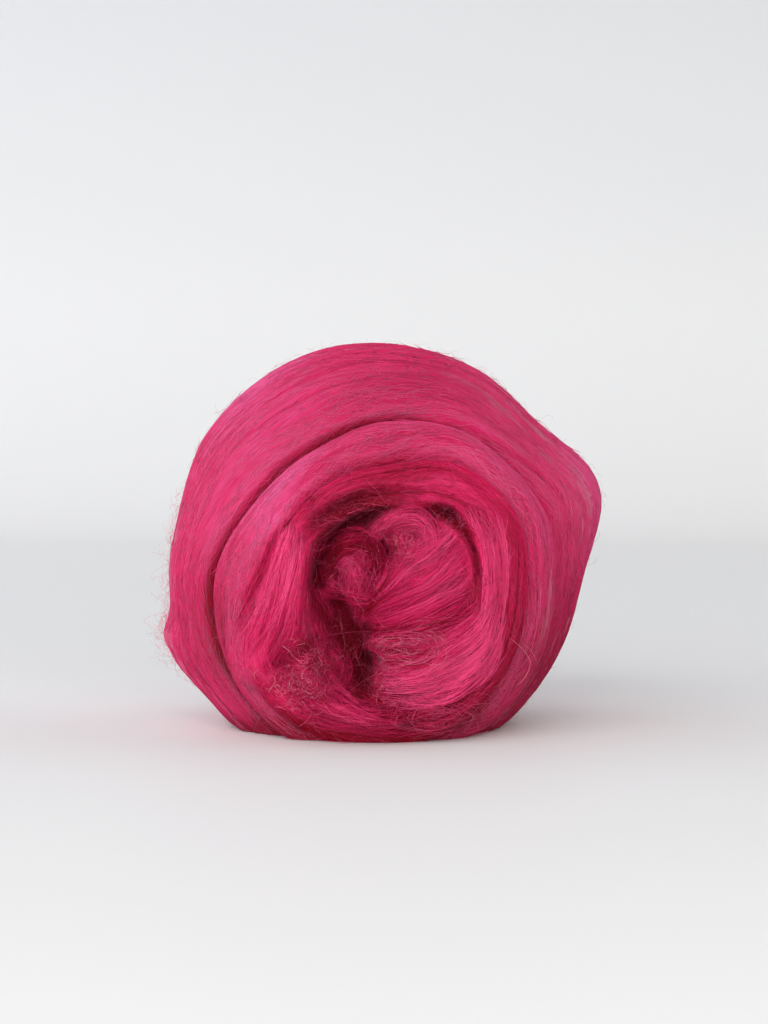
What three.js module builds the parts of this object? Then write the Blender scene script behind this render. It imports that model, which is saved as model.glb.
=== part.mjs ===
// Ball of combed viscose top: one soft sliver of parallel fibres, wound on itself and set down on its side.
// Millimetres, +Z up. The open eye of the winding looks along -Y. The origin is on the floor under its middle.
import * as THREE from "three";
import { mergeVertices } from "three/addons/utils/BufferGeometryUtils.js";

// Driving dimensions: compass points for the tables, steps round the ball, and rows of points between its rings
const COMPASS_POINTS = 12;
const STEPS_ROUND = 84;
const ROWS_BETWEEN = [10, 8, 4, 5, 6, 9, 8, 5, 4];

// Rings that the surface passes through, from the floor of the eye to the middle of the back.
// x and z are a ring's centre and depth its place along Y, lean how much further back its right side lies, and
// tilt how much further back its top lies. reach is its radius at the compass points, 30 degrees apart,
// anticlockwise from the right as seen from the front.
const RINGS = [
  { name: "eye floor", x: 6, z: 39, depth: -25, lean: 0, tilt: 0,
    reach: [0, 0, 0, 0, 0, 0, 0, 0, 0, 0, 0, 0] },
  { name: "eye wall", x: 1, z: 37, depth: -30, lean: 0, tilt: 0,
    reach: [17, 17, 18, 17, 16, 15, 15, 16, 19, 20, 20, 18] },
  { name: "lip", x: 0, z: 38, depth: -45, lean: 1, tilt: 2,
    reach: [25, 26, 27, 25, 24, 23, 22, 24, 29, 30, 30, 28] },
  { name: "inner edge", x: 0, z: 39, depth: -42, lean: 1, tilt: 3,
    reach: [32, 34, 32, 28, 27, 27, 27, 31, 35, 35, 35, 33] },
  { name: "middle edge", x: 0, z: 41, depth: -36, lean: 2, tilt: 4,
    reach: [39, 41, 39, 33, 32, 32, 34, 43, 44, 44, 42, 40] },
  { name: "outer edge", x: 0, z: 45, depth: -24, lean: 3, tilt: 5,
    reach: [46, 45, 44, 41, 39, 42, 46, 49, 52, 47, 51, 49] },
  { name: "widest", x: 0, z: 50, depth: 6, lean: 8, tilt: 6,
    reach: [55, 53, 53, 53, 54, 55, 56, 60, 63, 53, 59, 57] },
  { name: "back edge", x: 0, z: 53, depth: 36, lean: 3, tilt: 4,
    reach: [48, 47, 45, 45, 47, 48, 49, 51, 52, 48, 51, 49] },
  { name: "back turn", x: 0, z: 55, depth: 47, lean: 0, tilt: 0,
    reach: [27, 26, 25, 25, 26, 27, 28, 29, 30, 29, 28, 27] },
  { name: "back eye", x: 0, z: 56, depth: 42, lean: 0, tilt: 0,
    reach: [0, 0, 0, 0, 0, 0, 0, 0, 0, 0, 0, 0] },
];
const LAST_RING = RINGS.length - 1;
const WIDEST_RING = RINGS.findIndex((ring) => ring.name === "widest");

// Turns of the sliver: each swells between two rings and is highest a share, crest, of the way from the inner
// one. swell is the height at the compass points.
const TURNS = [
  { name: "inner turn", inner: 3, outer: 4, crest: 0.4, swell: [1, 2, 2, 2, 2, 1, 1, 2, 2, 2, 1, 1] },
  { name: "middle turn", inner: 4, outer: 5, crest: 0.35, swell: [1, 2, 3, 3, 3, 3, 3, 2, 2, 1, 1, 1] },
  { name: "outer wrap", inner: 5, outer: 7, crest: 0.2, swell: [1, 2, 3, 4, 4, 4, 4, 3, 2, 2, 1, 1] },
  { name: "back turn", inner: 7, outer: 8, crest: 0.45, swell: [2, 2, 2, 2, 2, 2, 2, 2, 2, 2, 2, 2] },
  { name: "back roll", inner: 8, outer: 9, crest: 0.45, swell: [1, 1, 1, 1, 1, 1, 1, 1, 1, 1, 1, 1] },
];

// Locks and folds on the front, each along a bent line in X and Z. half is its half width at its start and end,
// and rise its height at its start, middle and end.
const LOCKS = [
  { name: "curl", from: [-19, 40], over: [-10, 67], to: [1, 44], half: [7, 7], rise: [6, 8, 6] },
  { name: "curl heart", from: [-9, 46], over: [-8, 43], to: [-8, 40], half: [9, 9], rise: [6, 6, 6] },
  { name: "fan", from: [24, 47], over: [10, 41], to: [-8, 31], half: [14, 10], rise: [2, 12, 6] },
  { name: "top tuft", from: [-2, 55], over: [6, 63], to: [15, 56], half: [7, 8], rise: [7, 5, 6] },
  { name: "nest", from: [22, 27], over: [10, 23], to: [-1, 20], half: [9, 8], rise: [6, 9, 7] },
  { name: "low fold", from: [24, 35], over: [23, 13], to: [2, 14], half: [9, 11], rise: [2, 6, 9] },
  { name: "left wall", from: [-19, 34], over: [-17, 22], to: [-10, 16], half: [6, 6], rise: [3, 4, 4] },
  { name: "left tuft", from: [-24, 20], over: [-22, 17], to: [-19, 13], half: [8, 8], rise: [3, 4, 4] },
  { name: "floor roll", from: [-18, 14], over: [-10, 7], to: [2, 6], half: [6, 6], rise: [4, 5, 3] },
  { name: "right tuft", from: [14, 7], over: [18, 8], to: [21, 12], half: [6, 6], rise: [2, 3, 2] },
  { name: "left lobe", from: [-22, 58], over: [-25, 41], to: [-33, 23], half: [6, 10], rise: [2, 3, 4] },
];
const LOCK_SAMPLES = 60;
const LOCK_SOFTNESS = 1.8;
const LOCK_MERGE = 3;

// Bends of the outer wrap: a blunt corner at the right and a lump low on the left. Each lies at a compass angle
// in degrees and a place counted in rings, and fades over a spread of each.
const BENDS = [
  { name: "right corner", angle: 14, spread: 16, ring: 6.1, ringSpread: 1, height: 8 },
  { name: "left lump", angle: 208, spread: 8, ring: 5.9, ringSpread: 0.6, height: 3 },
];

// Steps for measuring slopes and for joining the grid where it meets itself
const PROBE = 1e-3;
const MERGE_DISTANCE = 1e-4;
const FULL_TURN = 360;
const HALF_TURN = 180;

/** A ring as a closed curve through its compass points. */
function ringCurve(ring) {
  const points = ring.reach.map((radius, index) => {
    const angle = (2 * Math.PI * index) / COMPASS_POINTS;
    const right = Math.cos(angle);
    const up = Math.sin(angle);
    const depth = ring.depth + ring.lean * right + ring.tilt * up;
    return new THREE.Vector3(ring.x + radius * right, depth, ring.z + radius * up);
  });
  return new THREE.CatmullRomCurve3(points, true, "catmullrom");
}

/** A lock's middle line as points in X and Z. */
function lockLine(lock) {
  const [from, over, to] = [lock.from, lock.over, lock.to].map((point) => new THREE.Vector2(...point));
  return new THREE.QuadraticBezierCurve(from, over, to).getPoints(LOCK_SAMPLES);
}

const RING_CURVES = RINGS.map(ringCurve);
const LOCK_LINES = LOCKS.map(lockLine);

/** A value given at the compass points, read smoothly at a share of the way round. */
function valueRound(values, share) {
  const place = share * COMPASS_POINTS;
  const first = Math.floor(place);
  const blend = THREE.MathUtils.smoothstep(place - first, 0, 1);
  return THREE.MathUtils.lerp(values[first % COMPASS_POINTS], values[(first + 1) % COMPASS_POINTS], blend);
}

/** The smooth ball without turns: station counts rings from the eye, and share is the way round. */
function smoothPoint(share, station) {
  const points = RING_CURVES.map((curve) => curve.getPoint(share));
  return new THREE.CatmullRomCurve3(points, false, "catmullrom").getPoint(station / LAST_RING);
}

/** The way out of the smooth ball at a point. */
function outward(share, station) {
  const inner = Math.max(station - PROBE, 0);
  const outer = Math.min(station + PROBE, LAST_RING);
  const along = smoothPoint((share + PROBE) % 1, station).sub(smoothPoint((share - PROBE + 1) % 1, station));
  const across = smoothPoint(share, outer).sub(smoothPoint(share, inner));
  return across.cross(along).normalize();
}

/** Height of the turn of sliver that lies at a station. */
function turnHeight(share, station) {
  const turn = TURNS.find((row) => station >= row.inner && station < row.outer);
  if (!turn) return 0;
  const way = (station - turn.inner) / (turn.outer - turn.inner);
  const rising = way < turn.crest;
  const shape = Math.sin((Math.PI / 2) * (rising ? way / turn.crest : (1 - way) / (1 - turn.crest)));
  return valueRound(turn.swell, share) * (rising ? Math.sqrt(shape) : shape);
}

/** Height of the bends of the outer wrap. */
function bendHeight(share, station) {
  return BENDS.reduce((sum, bend) => {
    const turned = THREE.MathUtils.euclideanModulo(share * FULL_TURN - bend.angle + HALF_TURN, FULL_TURN);
    const away = Math.hypot((turned - HALF_TURN) / bend.spread, (station - bend.ring) / bend.ringSpread);
    return sum + bend.height * Math.exp(-away * away);
  }, 0);
}

/** How far the locks stand out at a point of the front, run softly into one another. */
function lockRise(x, z) {
  const total = LOCKS.reduce((sum, lock, index) => {
    const away = LOCK_LINES[index].map((point) => Math.hypot(point.x - x, point.y - z));
    const nearest = Math.min(...away);
    const way = away.indexOf(nearest) / LOCK_SAMPLES;
    const edge = Math.max(1 - (nearest / THREE.MathUtils.lerp(...lock.half, way)) ** 2, 0);
    const half = way < 0.5 ? 0 : 1;
    const rise = THREE.MathUtils.lerp(lock.rise[half], lock.rise[half + 1], 2 * way - half);
    return sum + (rise * edge ** LOCK_SOFTNESS) ** LOCK_MERGE;
  }, 0);
  return total ** (1 / LOCK_MERGE);
}

/** A point of the wound surface, flattened where it rests on the floor. */
function woundPoint(share, station) {
  const point = smoothPoint(share, station);
  const height = turnHeight(share, station) + bendHeight(share, station);
  point.addScaledVector(outward(share, station), height);
  if (station < WIDEST_RING) point.y -= lockRise(point.x, point.z);
  point.z = Math.max(point.z, 0);
  return point;
}

/** The ball as one closed surface: a sphere's grid moved onto the winding and centred over the origin. */
function woundGeometry() {
  const rowsFrom = (rows, ring) => Array.from({ length: rows }, (_, row) => ring + row / rows);
  const stations = [...ROWS_BETWEEN.flatMap(rowsFrom), LAST_RING];
  const lastRow = stations.length - 1;
  const sphere = new THREE.SphereGeometry(1, STEPS_ROUND, lastRow);
  const { position, uv } = sphere.attributes;
  for (let index = 0; index < position.count; index += 1) {
    const row = Math.round((1 - uv.getY(index)) * lastRow);
    const pole = row === 0 || row === lastRow;
    const step = pole ? 0 : Math.round(uv.getX(index) * STEPS_ROUND) % STEPS_ROUND;
    position.setXYZ(index, ...woundPoint(step / STEPS_ROUND, stations[row]));
  }
  sphere.deleteAttribute("normal");
  sphere.deleteAttribute("uv");
  const geometry = mergeVertices(sphere, MERGE_DISTANCE);
  geometry.computeBoundingBox();
  const middle = geometry.boundingBox.getCenter(new THREE.Vector3());
  geometry.translate(-middle.x, -middle.y, 0);
  geometry.computeVertexNormals();
  return geometry;
}

const viscose = new THREE.MeshStandardMaterial({ color: "#bd2d58", roughness: 0.55, metalness: 0 });
const woundTop = new THREE.Mesh(woundGeometry(), viscose);
woundTop.name = "wound_top";

const ball = new THREE.Group();
ball.add(woundTop);

export default ball;
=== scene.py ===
"""Looks of a ball of combed viscose top: a soft cerise sliver wound on itself, seen into its open eye.

The tables are in millimetres and degrees, and every mesh is in metres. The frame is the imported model's:
+Z is up, the eye looks along -Y and the origin lies on the floor under the middle of the ball. Compass
angles run anticlockwise from the right as seen from the front, and stations count rings from the floor of
the eye to the back.
"""
import logging
import math
from dataclasses import dataclass, field, fields
from enum import Enum

import bpy
import numpy as np
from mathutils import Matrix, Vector


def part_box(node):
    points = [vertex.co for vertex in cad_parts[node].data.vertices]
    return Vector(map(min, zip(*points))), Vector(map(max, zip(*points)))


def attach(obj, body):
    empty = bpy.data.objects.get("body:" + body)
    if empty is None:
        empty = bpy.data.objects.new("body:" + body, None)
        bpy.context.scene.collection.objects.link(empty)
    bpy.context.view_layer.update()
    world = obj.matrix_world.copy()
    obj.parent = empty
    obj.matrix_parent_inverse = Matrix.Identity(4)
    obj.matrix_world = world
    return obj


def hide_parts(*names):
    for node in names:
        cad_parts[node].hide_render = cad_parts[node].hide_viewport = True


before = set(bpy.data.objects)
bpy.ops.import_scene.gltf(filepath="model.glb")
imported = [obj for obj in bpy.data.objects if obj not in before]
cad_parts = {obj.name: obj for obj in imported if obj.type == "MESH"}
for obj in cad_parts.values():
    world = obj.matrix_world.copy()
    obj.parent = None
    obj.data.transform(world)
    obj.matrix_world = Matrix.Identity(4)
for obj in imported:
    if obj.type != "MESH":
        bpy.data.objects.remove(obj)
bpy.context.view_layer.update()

# A Spot lies in X and Z, a Span is a first and last value, a Gamma the shape and scale of a spread
Array = np.ndarray
Socket = bpy.types.NodeSocket
Colour = tuple[float, float, float]
Place = tuple[float, float, float]
Triple = tuple[float, float, float]
Spot = tuple[float, float]
Span = tuple[float, float]
Gamma = tuple[float, float]
Compass = tuple[float, ...]

MM = 0.001
BODY = "root"
NODE = "wound_top"
BAKE_MAP = "OFBake"
SEED = 20417
COMPASS_POINTS = 12
FULL_TURN = 360
HALF_TURN = 180
QUARTER_TURN = 90
PROBE = 1e-3
TINY = 1e-12
FLOOR_GAP = 0.05
ARC_POINTS = 7
GOLDEN_SHARE = (math.sqrt(5) - 1) / 2
MID_TINT = 0.5
DEEP_SHADE = 0.5
DEEP_FROM = -37
DEEP_OVER = 11
log = logging.getLogger("viscose_top")


class Stream(Enum):
    """Streams of chance kept apart, so that a change to one sub-assembly leaves the others alone."""

    EYE = 77
    ROLLS = 78
    STRAYS = 79
    TUFTS = 80
    WAVER = 90


@dataclass(frozen=True)
class Ring:
    """A ring that the winding passes through, with its radius at the compass points.

    x and z are its centre, depth its place along Y, lean how much further back its right side lies and
    tilt how much further back its top lies.
    """

    name: str
    x: float
    z: float
    depth: float
    lean: float
    tilt: float
    reach: Compass


@dataclass(frozen=True)
class Turn:
    """A turn of the sliver that swells between two rings and overhangs a groove at its inner edge.

    crest is the share of the way at which it is highest, and crisp how sharp its inner edge is.
    """

    name: str
    inner: int
    outer: int
    crest: float
    swell: Compass
    crisp: Compass
    overhang: float
    groove: float


@dataclass(frozen=True)
class Fold:
    """A soft fold or hollow of the front along a bent line in X and Z.

    half is its half width at both ends, and rise its height at its start, middle and end.
    """

    name: str
    start: Spot
    over: Spot
    end: Spot
    half: Span
    rise: Triple


@dataclass(frozen=True)
class Bend:
    """A soft patch at a compass angle and a station: a bend of the wrap, or painted light or shade in its
    tint.

    spread and ring_spread are how far it reaches round the ball and across the turns.
    """

    name: str
    angle: float
    spread: float
    ring: float
    ring_spread: float
    height: float


@dataclass(frozen=True)
class Ply:
    """A thin edge where one layer of a turn ends on the next, between two compass angles and stations.

    step is its height, and fade how far the layer takes to settle again.
    """

    name: str
    angles: Span
    stations: Span
    step: float
    fade: float


RINGS = (
    Ring("eye floor", 2, 38, -23, 0, 0, (0,) * COMPASS_POINTS),
    Ring("eye wall", 0, 38, -28, 0, 0, (20, 20, 21, 21, 20, 18, 17, 17, 19, 20, 20, 20)),
    Ring("lip", 0, 38, -45, 1, 2, (25, 26, 27, 25, 24, 23, 22, 24, 29, 30, 30, 28)),
    Ring("inner edge", 0, 39, -42, 1, 3, (32, 34, 32, 28, 27, 27, 27, 31, 35, 35, 35, 33)),
    Ring("middle edge", 0, 41, -36, 2, 4, (39, 41, 39, 33, 32, 32, 34, 43, 44, 44, 42, 40)),
    Ring("outer edge", 0, 45, -24, 3, 5, (46, 45, 43.5, 40.6, 38, 40.2, 46.3, 49, 52, 47, 51, 49)),
    Ring("widest", 0, 50, 6, 8, 6, (55, 53, 53, 53, 54, 55, 56, 60, 63, 53, 59, 57)),
    Ring("back edge", 0, 53, 36, 3, 4, (48, 47, 45, 45, 47, 48, 49, 51, 52, 48, 51, 49)),
    Ring("back turn", 0, 55, 47, 0, 0, (27, 26, 25, 25, 26, 27, 28, 29, 30, 29, 28, 27)),
    Ring("back eye", 0, 56, 42, 0, 0, (0,) * COMPASS_POINTS),
)
LAST_RING = len(RINGS) - 1
LIP_RING = 2
WIDEST_RING = 6

TURNS = (
    Turn("inner turn", 3, 4, 0.4, (1, 2, 2, 2, 2, 1, 1, 2, 2, 2, 1, 1),
         (0.3, 0.4, 0.2, 0.2, 0.35, 0.4, 0.3, 0.2, 0.2, 0.2, 0.2, 0.2), 0.8, 1.0),
    Turn("middle turn", 4, 5, 0.35, (0.4, 1.6, 3, 3, 2.6, 2.1, 1.7, 1.4, 1.4, 1, 0.6, 0.4),
         (0.3, 0.5, 0.3, 0.45, 0.9, 1.0, 0.9, 0.5, 0.3, 0.2, 0.2, 0.2), 1.4, 2.2),
    Turn("outer wrap", 5, 7, 0.2, (1, 2, 3, 4, 4, 4, 4, 3, 2, 2, 1, 1),
         (0, 0.2, 0.55, 0.75, 1.0, 0.85, 0.8, 1.0, 0.8, 0.3, 0, 0), 2.2, 4.6),
    Turn("back turn", 7, 8, 0.45, (2,) * COMPASS_POINTS, (0.5, 0.7, 0.9, 0.6) * 3, 0.8, 1.0),
    Turn("back roll", 8, 9, 0.45, (1,) * COMPASS_POINTS, (0.8, 0.4, 0.6) * 4, 0.5, 0.8),
)

FOLDS = (
    Fold("hood", (-15, 40), (-9, 66), (-0.5, 41), (5.5, 5.5), (7, 9, 9)),
    Fold("curl heart", (-9, 50), (-7.5, 45), (-7, 37.5), (7, 6.5), (9, 13, 10)),
    Fold("curl foot", (-14, 41), (-9, 38), (-4, 37), (4, 4), (6, 9, 9)),
    Fold("fan top", (21, 55.5), (11, 52), (0, 41), (8.5, 6.5), (10, 15.5, 11)),
    Fold("fan middle", (22.5, 47.5), (12, 44), (-4.5, 33.5), (10.5, 7), (11, 18, 12)),
    Fold("fan foot", (23, 39.5), (14, 37), (0, 31.5), (8, 6), (9.5, 15.5, 11)),
    Fold("top arch", (-2.5, 55), (6, 65.5), (13, 53), (4.5, 4.8), (9, 12, 13)),
    Fold("arch hollow", (2.5, 58), (5.5, 55), (7.5, 50), (8, 7), (9, 11.5, 11)),
    Fold("fan hem", (24, 35), (14, 32.5), (-2, 29.5), (4.5, 4.5), (9, 14, 11)),
    Fold("nest", (23, 33), (11, 26.5), (-2, 26), (7, 6), (9, 15, 11)),
    Fold("nest foot", (21, 28), (10, 21.5), (1, 21), (5, 4.5), (9, 14, 12)),
    Fold("low fold", (25, 32), (17, 18.5), (1, 15.5), (8, 8), (10, 19, 17)),
    Fold("left wall", (-18, 38), (-16.5, 27), (-11, 15), (5, 5), (3, 5, 4)),
)
ROLLS = (
    Fold("left tuft", (-24, 20), (-22, 17), (-19, 13), (8, 8), (3, 4, 4)),
    Fold("floor roll", (-18, 14), (-10, 7), (2, 6), (6, 6), (4, 5, 3)),
    Fold("right tuft", (14, 7), (18, 8), (21, 12), (6, 6), (2, 3, 2)),
    Fold("left lobe", (-22, 58), (-25, 41), (-33, 23), (6, 10), (3, 5, 6.5)),
)
CREASES = (
    Fold("upper rim", (-17.5, 56.5), (-8, 66), (8, 63), (5, 5.5), (2, 7, 3)),
    Fold("curl gap", (-18, 42), (-20, 57), (-5, 60.5), (3, 3.2), (3, 6, 5)),
    Fold("right gap", (9, 62), (18, 62.5), (22.5, 55.5), (3.2, 3), (3, 10, 4)),
    Fold("rim line", (18.5, 60.5), (26.5, 52), (24.8, 35), (1.8, 1.6), (3, 4.5, 1.5)),
    Fold("lobe foot", (-31, 20), (-25, 22.5), (-19, 27), (2.5, 2.5), (1, 3, 2)),
    Fold("lobe side", (-28, 53), (-28.5, 44), (-38, 34), (3.5, 4.5), (1.5, 4.5, 1)),
    Fold("low fold end", (-4.5, 21), (-7, 15.5), (-5, 10), (3.2, 2.8), (5, 6, 3)),
    Fold("floor line", (-24, 12.5), (-12, 13.5), (0, 10), (2.2, 2.2), (1, 3, 2)),
    Fold("foot line", (4, 9), (12, 4), (24, 9.5), (2.2, 2.2), (0.5, 1.6, 1)),
)
FOLD_SAMPLES = 60
FOLD_SOFTNESS = 1.8
FOLD_MERGE = 3

BENDS = (
    Bend("right corner", 14, 16, 6.1, 1, 8),
    Bend("left lump", 208, 8, 5.9, 0.6, 3),
    Bend("left tuft", 202, 3.5, 5.95, 0.4, 2.4),
)
# Patches of painted light and shade in the tint: darker where the turns face away from the light, paler
# where they catch it or its sheen
PAINTED_LIGHT_AND_SHADE = (
    Bend("low left of the middle turn", 205, 28, 4.7, 0.5, -0.52),
    Bend("upper left of the middle turn", 136, 20, 4.5, 0.45, 0.24),
    Bend("top of the middle turn", 86, 34, 4.1, 0.55, -0.22),
    Bend("top of the inner turn", 82, 34, 3.3, 0.4, -0.2),
    Bend("foot of the middle turn", 230, 11, 4.0, 0.5, -0.3),
    Bend("inner side of the lobe", 218, 15, 2.0, 0.6, -0.3),
    Bend("low left of the wrap", 204, 18, 5.3, 0.3, -0.16),
    Bend("top of the wrap", 86, 30, 5.35, 0.8, -0.16),
    Bend("right of the wrap", 6, 30, 5.9, 0.4, 0.26),
    Bend("upper left of the wrap", 130, 18, 5.95, 0.35, 0.28),
    Bend("right of the inner turn", 24, 10, 3.4, 0.4, -0.2),
)

# How far the fibres have wandered across the turns at the compass points, as a sliver wound in a spiral does
SPIRAL = (6, 5, 2.5, 0.5, 0, 0, 0, 0, 0, 1.5, 3.5, 5.5)

PLIES = (
    Ply("top line", (68, 122), (5.75, 5.85), 0.6, 7),
    Ply("upper left line", (88, 152), (5.42, 5.5), 0.7, 6),
    Ply("left line", (122, 176), (5.2, 5.3), 0.3, 5),
    Ply("right line", (10, 62), (5.3, 5.05), 0.6, 7),
    Ply("corner line", (-40, 40), (5.9, 6.0), 0.5, 8),
    Ply("right inner line", (-30, 45), (4.4, 4.2), 0.6, 4),
    Ply("second band line", (70, 130), (4.5, 4.45), 0.4, 4),
    Ply("inner line", (42, 128), (3.5, 3.62), 0.7, 3),
    Ply("rim line", (30, 112), (2.95, 2.75), 0.7, 3),
    Ply("right rim line", (-48, 32), (3.3, 3.55), 0.7, 3),
    Ply("wrap line", (100, 168), (5.6, 5.66), 0.5, 5),
    Ply("low left line", (195, 262), (5.5, 5.3), 0.9, 5),
    Ply("low right line", (-88, -20), (5.2, 5.35), 0.6, 5),
    Ply("back crown", (20, 170), (6.55, 6.7), 0.9, 8),
    Ply("back left", (130, 260), (6.8, 6.45), 0.9, 8),
    Ply("back right", (-95, 30), (6.5, 6.75), 0.9, 8),
    Ply("back sweep", (200, 340), (7.4, 7.6), 0.8, 6),
    Ply("back swirl", (20, 180), (7.5, 7.3), 0.8, 6),
)


def chance(*keys: int) -> np.random.Generator:
    """A seeded source of unevenness for some keys."""
    return np.random.default_rng([SEED, *keys])


def either_way(rng: np.random.Generator, shape: int | tuple[int, ...]) -> Array:
    """Signs of -1 or 1, as likely one as the other."""
    return np.where(rng.random(shape) < 0.5, -1, 1)


def smooth_step(value: Array) -> Array:
    """A soft ramp from 0 to 1 for values in that range."""
    return value * value * (3 - 2 * value)


def soft_ramp(value: Array, start: float, over: float) -> Array:
    """A soft ramp from 0 at the start to 1 where it is over."""
    return smooth_step(np.clip((value - start) / over, 0, 1))


def blend(low: Array, high: Array, part: Array) -> Array:
    """Values that lie a part of the way from low ones to high ones."""
    return low * (1 - part) + high * part


def column(values: Array) -> Array:
    """A row of values stood up as a column, one for each strand."""
    return np.asarray(values)[:, None]


def unit(vectors: Array) -> Array:
    """Vectors brought to length 1 along the last axis."""
    return vectors / np.maximum(np.linalg.norm(vectors, axis=-1, keepdims=True), TINY)


def painted_depth_shade(depth: Array) -> Array:
    """Painted shade: how much darker fibres are painted that lie deep in the eye, by their depth along Y."""
    return DEEP_SHADE * soft_ramp(depth, DEEP_FROM, DEEP_OVER)


def catmull_weights(part: Array) -> Array:
    """Weights of the four points around places on a smooth curve.

    Args:
        part: How far each place is from the second point to the third, from 0 to 1.

    Returns:
        The four weights, stacked on a new first axis.
    """
    square = part * part
    cube = square * part
    return np.stack([
        -0.5 * part + square - 0.5 * cube,
        1 - 2.5 * square + 1.5 * cube,
        0.5 * part + 2 * square - 1.5 * cube,
        -0.5 * square + 0.5 * cube,
    ])


def curve_through(points: Array, places: Array) -> Array:
    """Reads an open smooth curve through points stacked on the first axis.

    Args:
        points: The points, of any shape after the first axis.
        places: Places along the curve, counted in points from 0.

    Returns:
        The curve at those places, stacked on the first axis.
    """
    ends = np.concatenate([2 * points[:1] - points[1:2], points, 2 * points[-1:] - points[-2:-1]])
    first = np.clip(np.floor(places).astype(int), 0, len(points) - 2)
    weights = catmull_weights(places - first)
    return np.einsum("pr,pr...->r...", weights, ends[first[None] + np.arange(4)[:, None]])


def read_round(values: Compass, share: Array) -> Array:
    """Reads values given at the compass points softly.

    Args:
        values: A value for each compass point.
        share: Shares of the way round.

    Returns:
        Values at those shares.
    """
    table = np.asarray(values, float)
    place = np.mod(share, 1) * COMPASS_POINTS
    first = np.floor(place).astype(int)
    near, far = table[first % COMPASS_POINTS], table[(first + 1) % COMPASS_POINTS]
    return blend(near, far, smooth_step(place - first))


def lattice_noise(rng: np.random.Generator, around: Array, across: Array, cells: int, rows: int) -> Array:
    """Soft noise on a lattice that closes on itself the first way.

    Args:
        rng: Source of the lattice values.
        around: Places the closed way, in turns.
        across: Places the open way, in lattice cells.
        cells: Lattice cells in one turn.
        rows: Lattice rows the open way.

    Returns:
        Values between -1 and 1.
    """
    lattice = rng.uniform(-1, 1, (cells, rows + 2))
    place = np.mod(around, 1) * cells
    first = np.floor(place).astype(int)
    line = np.clip(np.floor(across).astype(int), 0, rows)
    side = smooth_step(place - first)
    up = smooth_step(np.clip(across - line, 0, 1))
    left, right = first % cells, (first + 1) % cells
    low = blend(lattice[left, line], lattice[right, line], side)
    high = blend(lattice[left, line + 1], lattice[right, line + 1], side)
    return blend(low, high, up)


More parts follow.
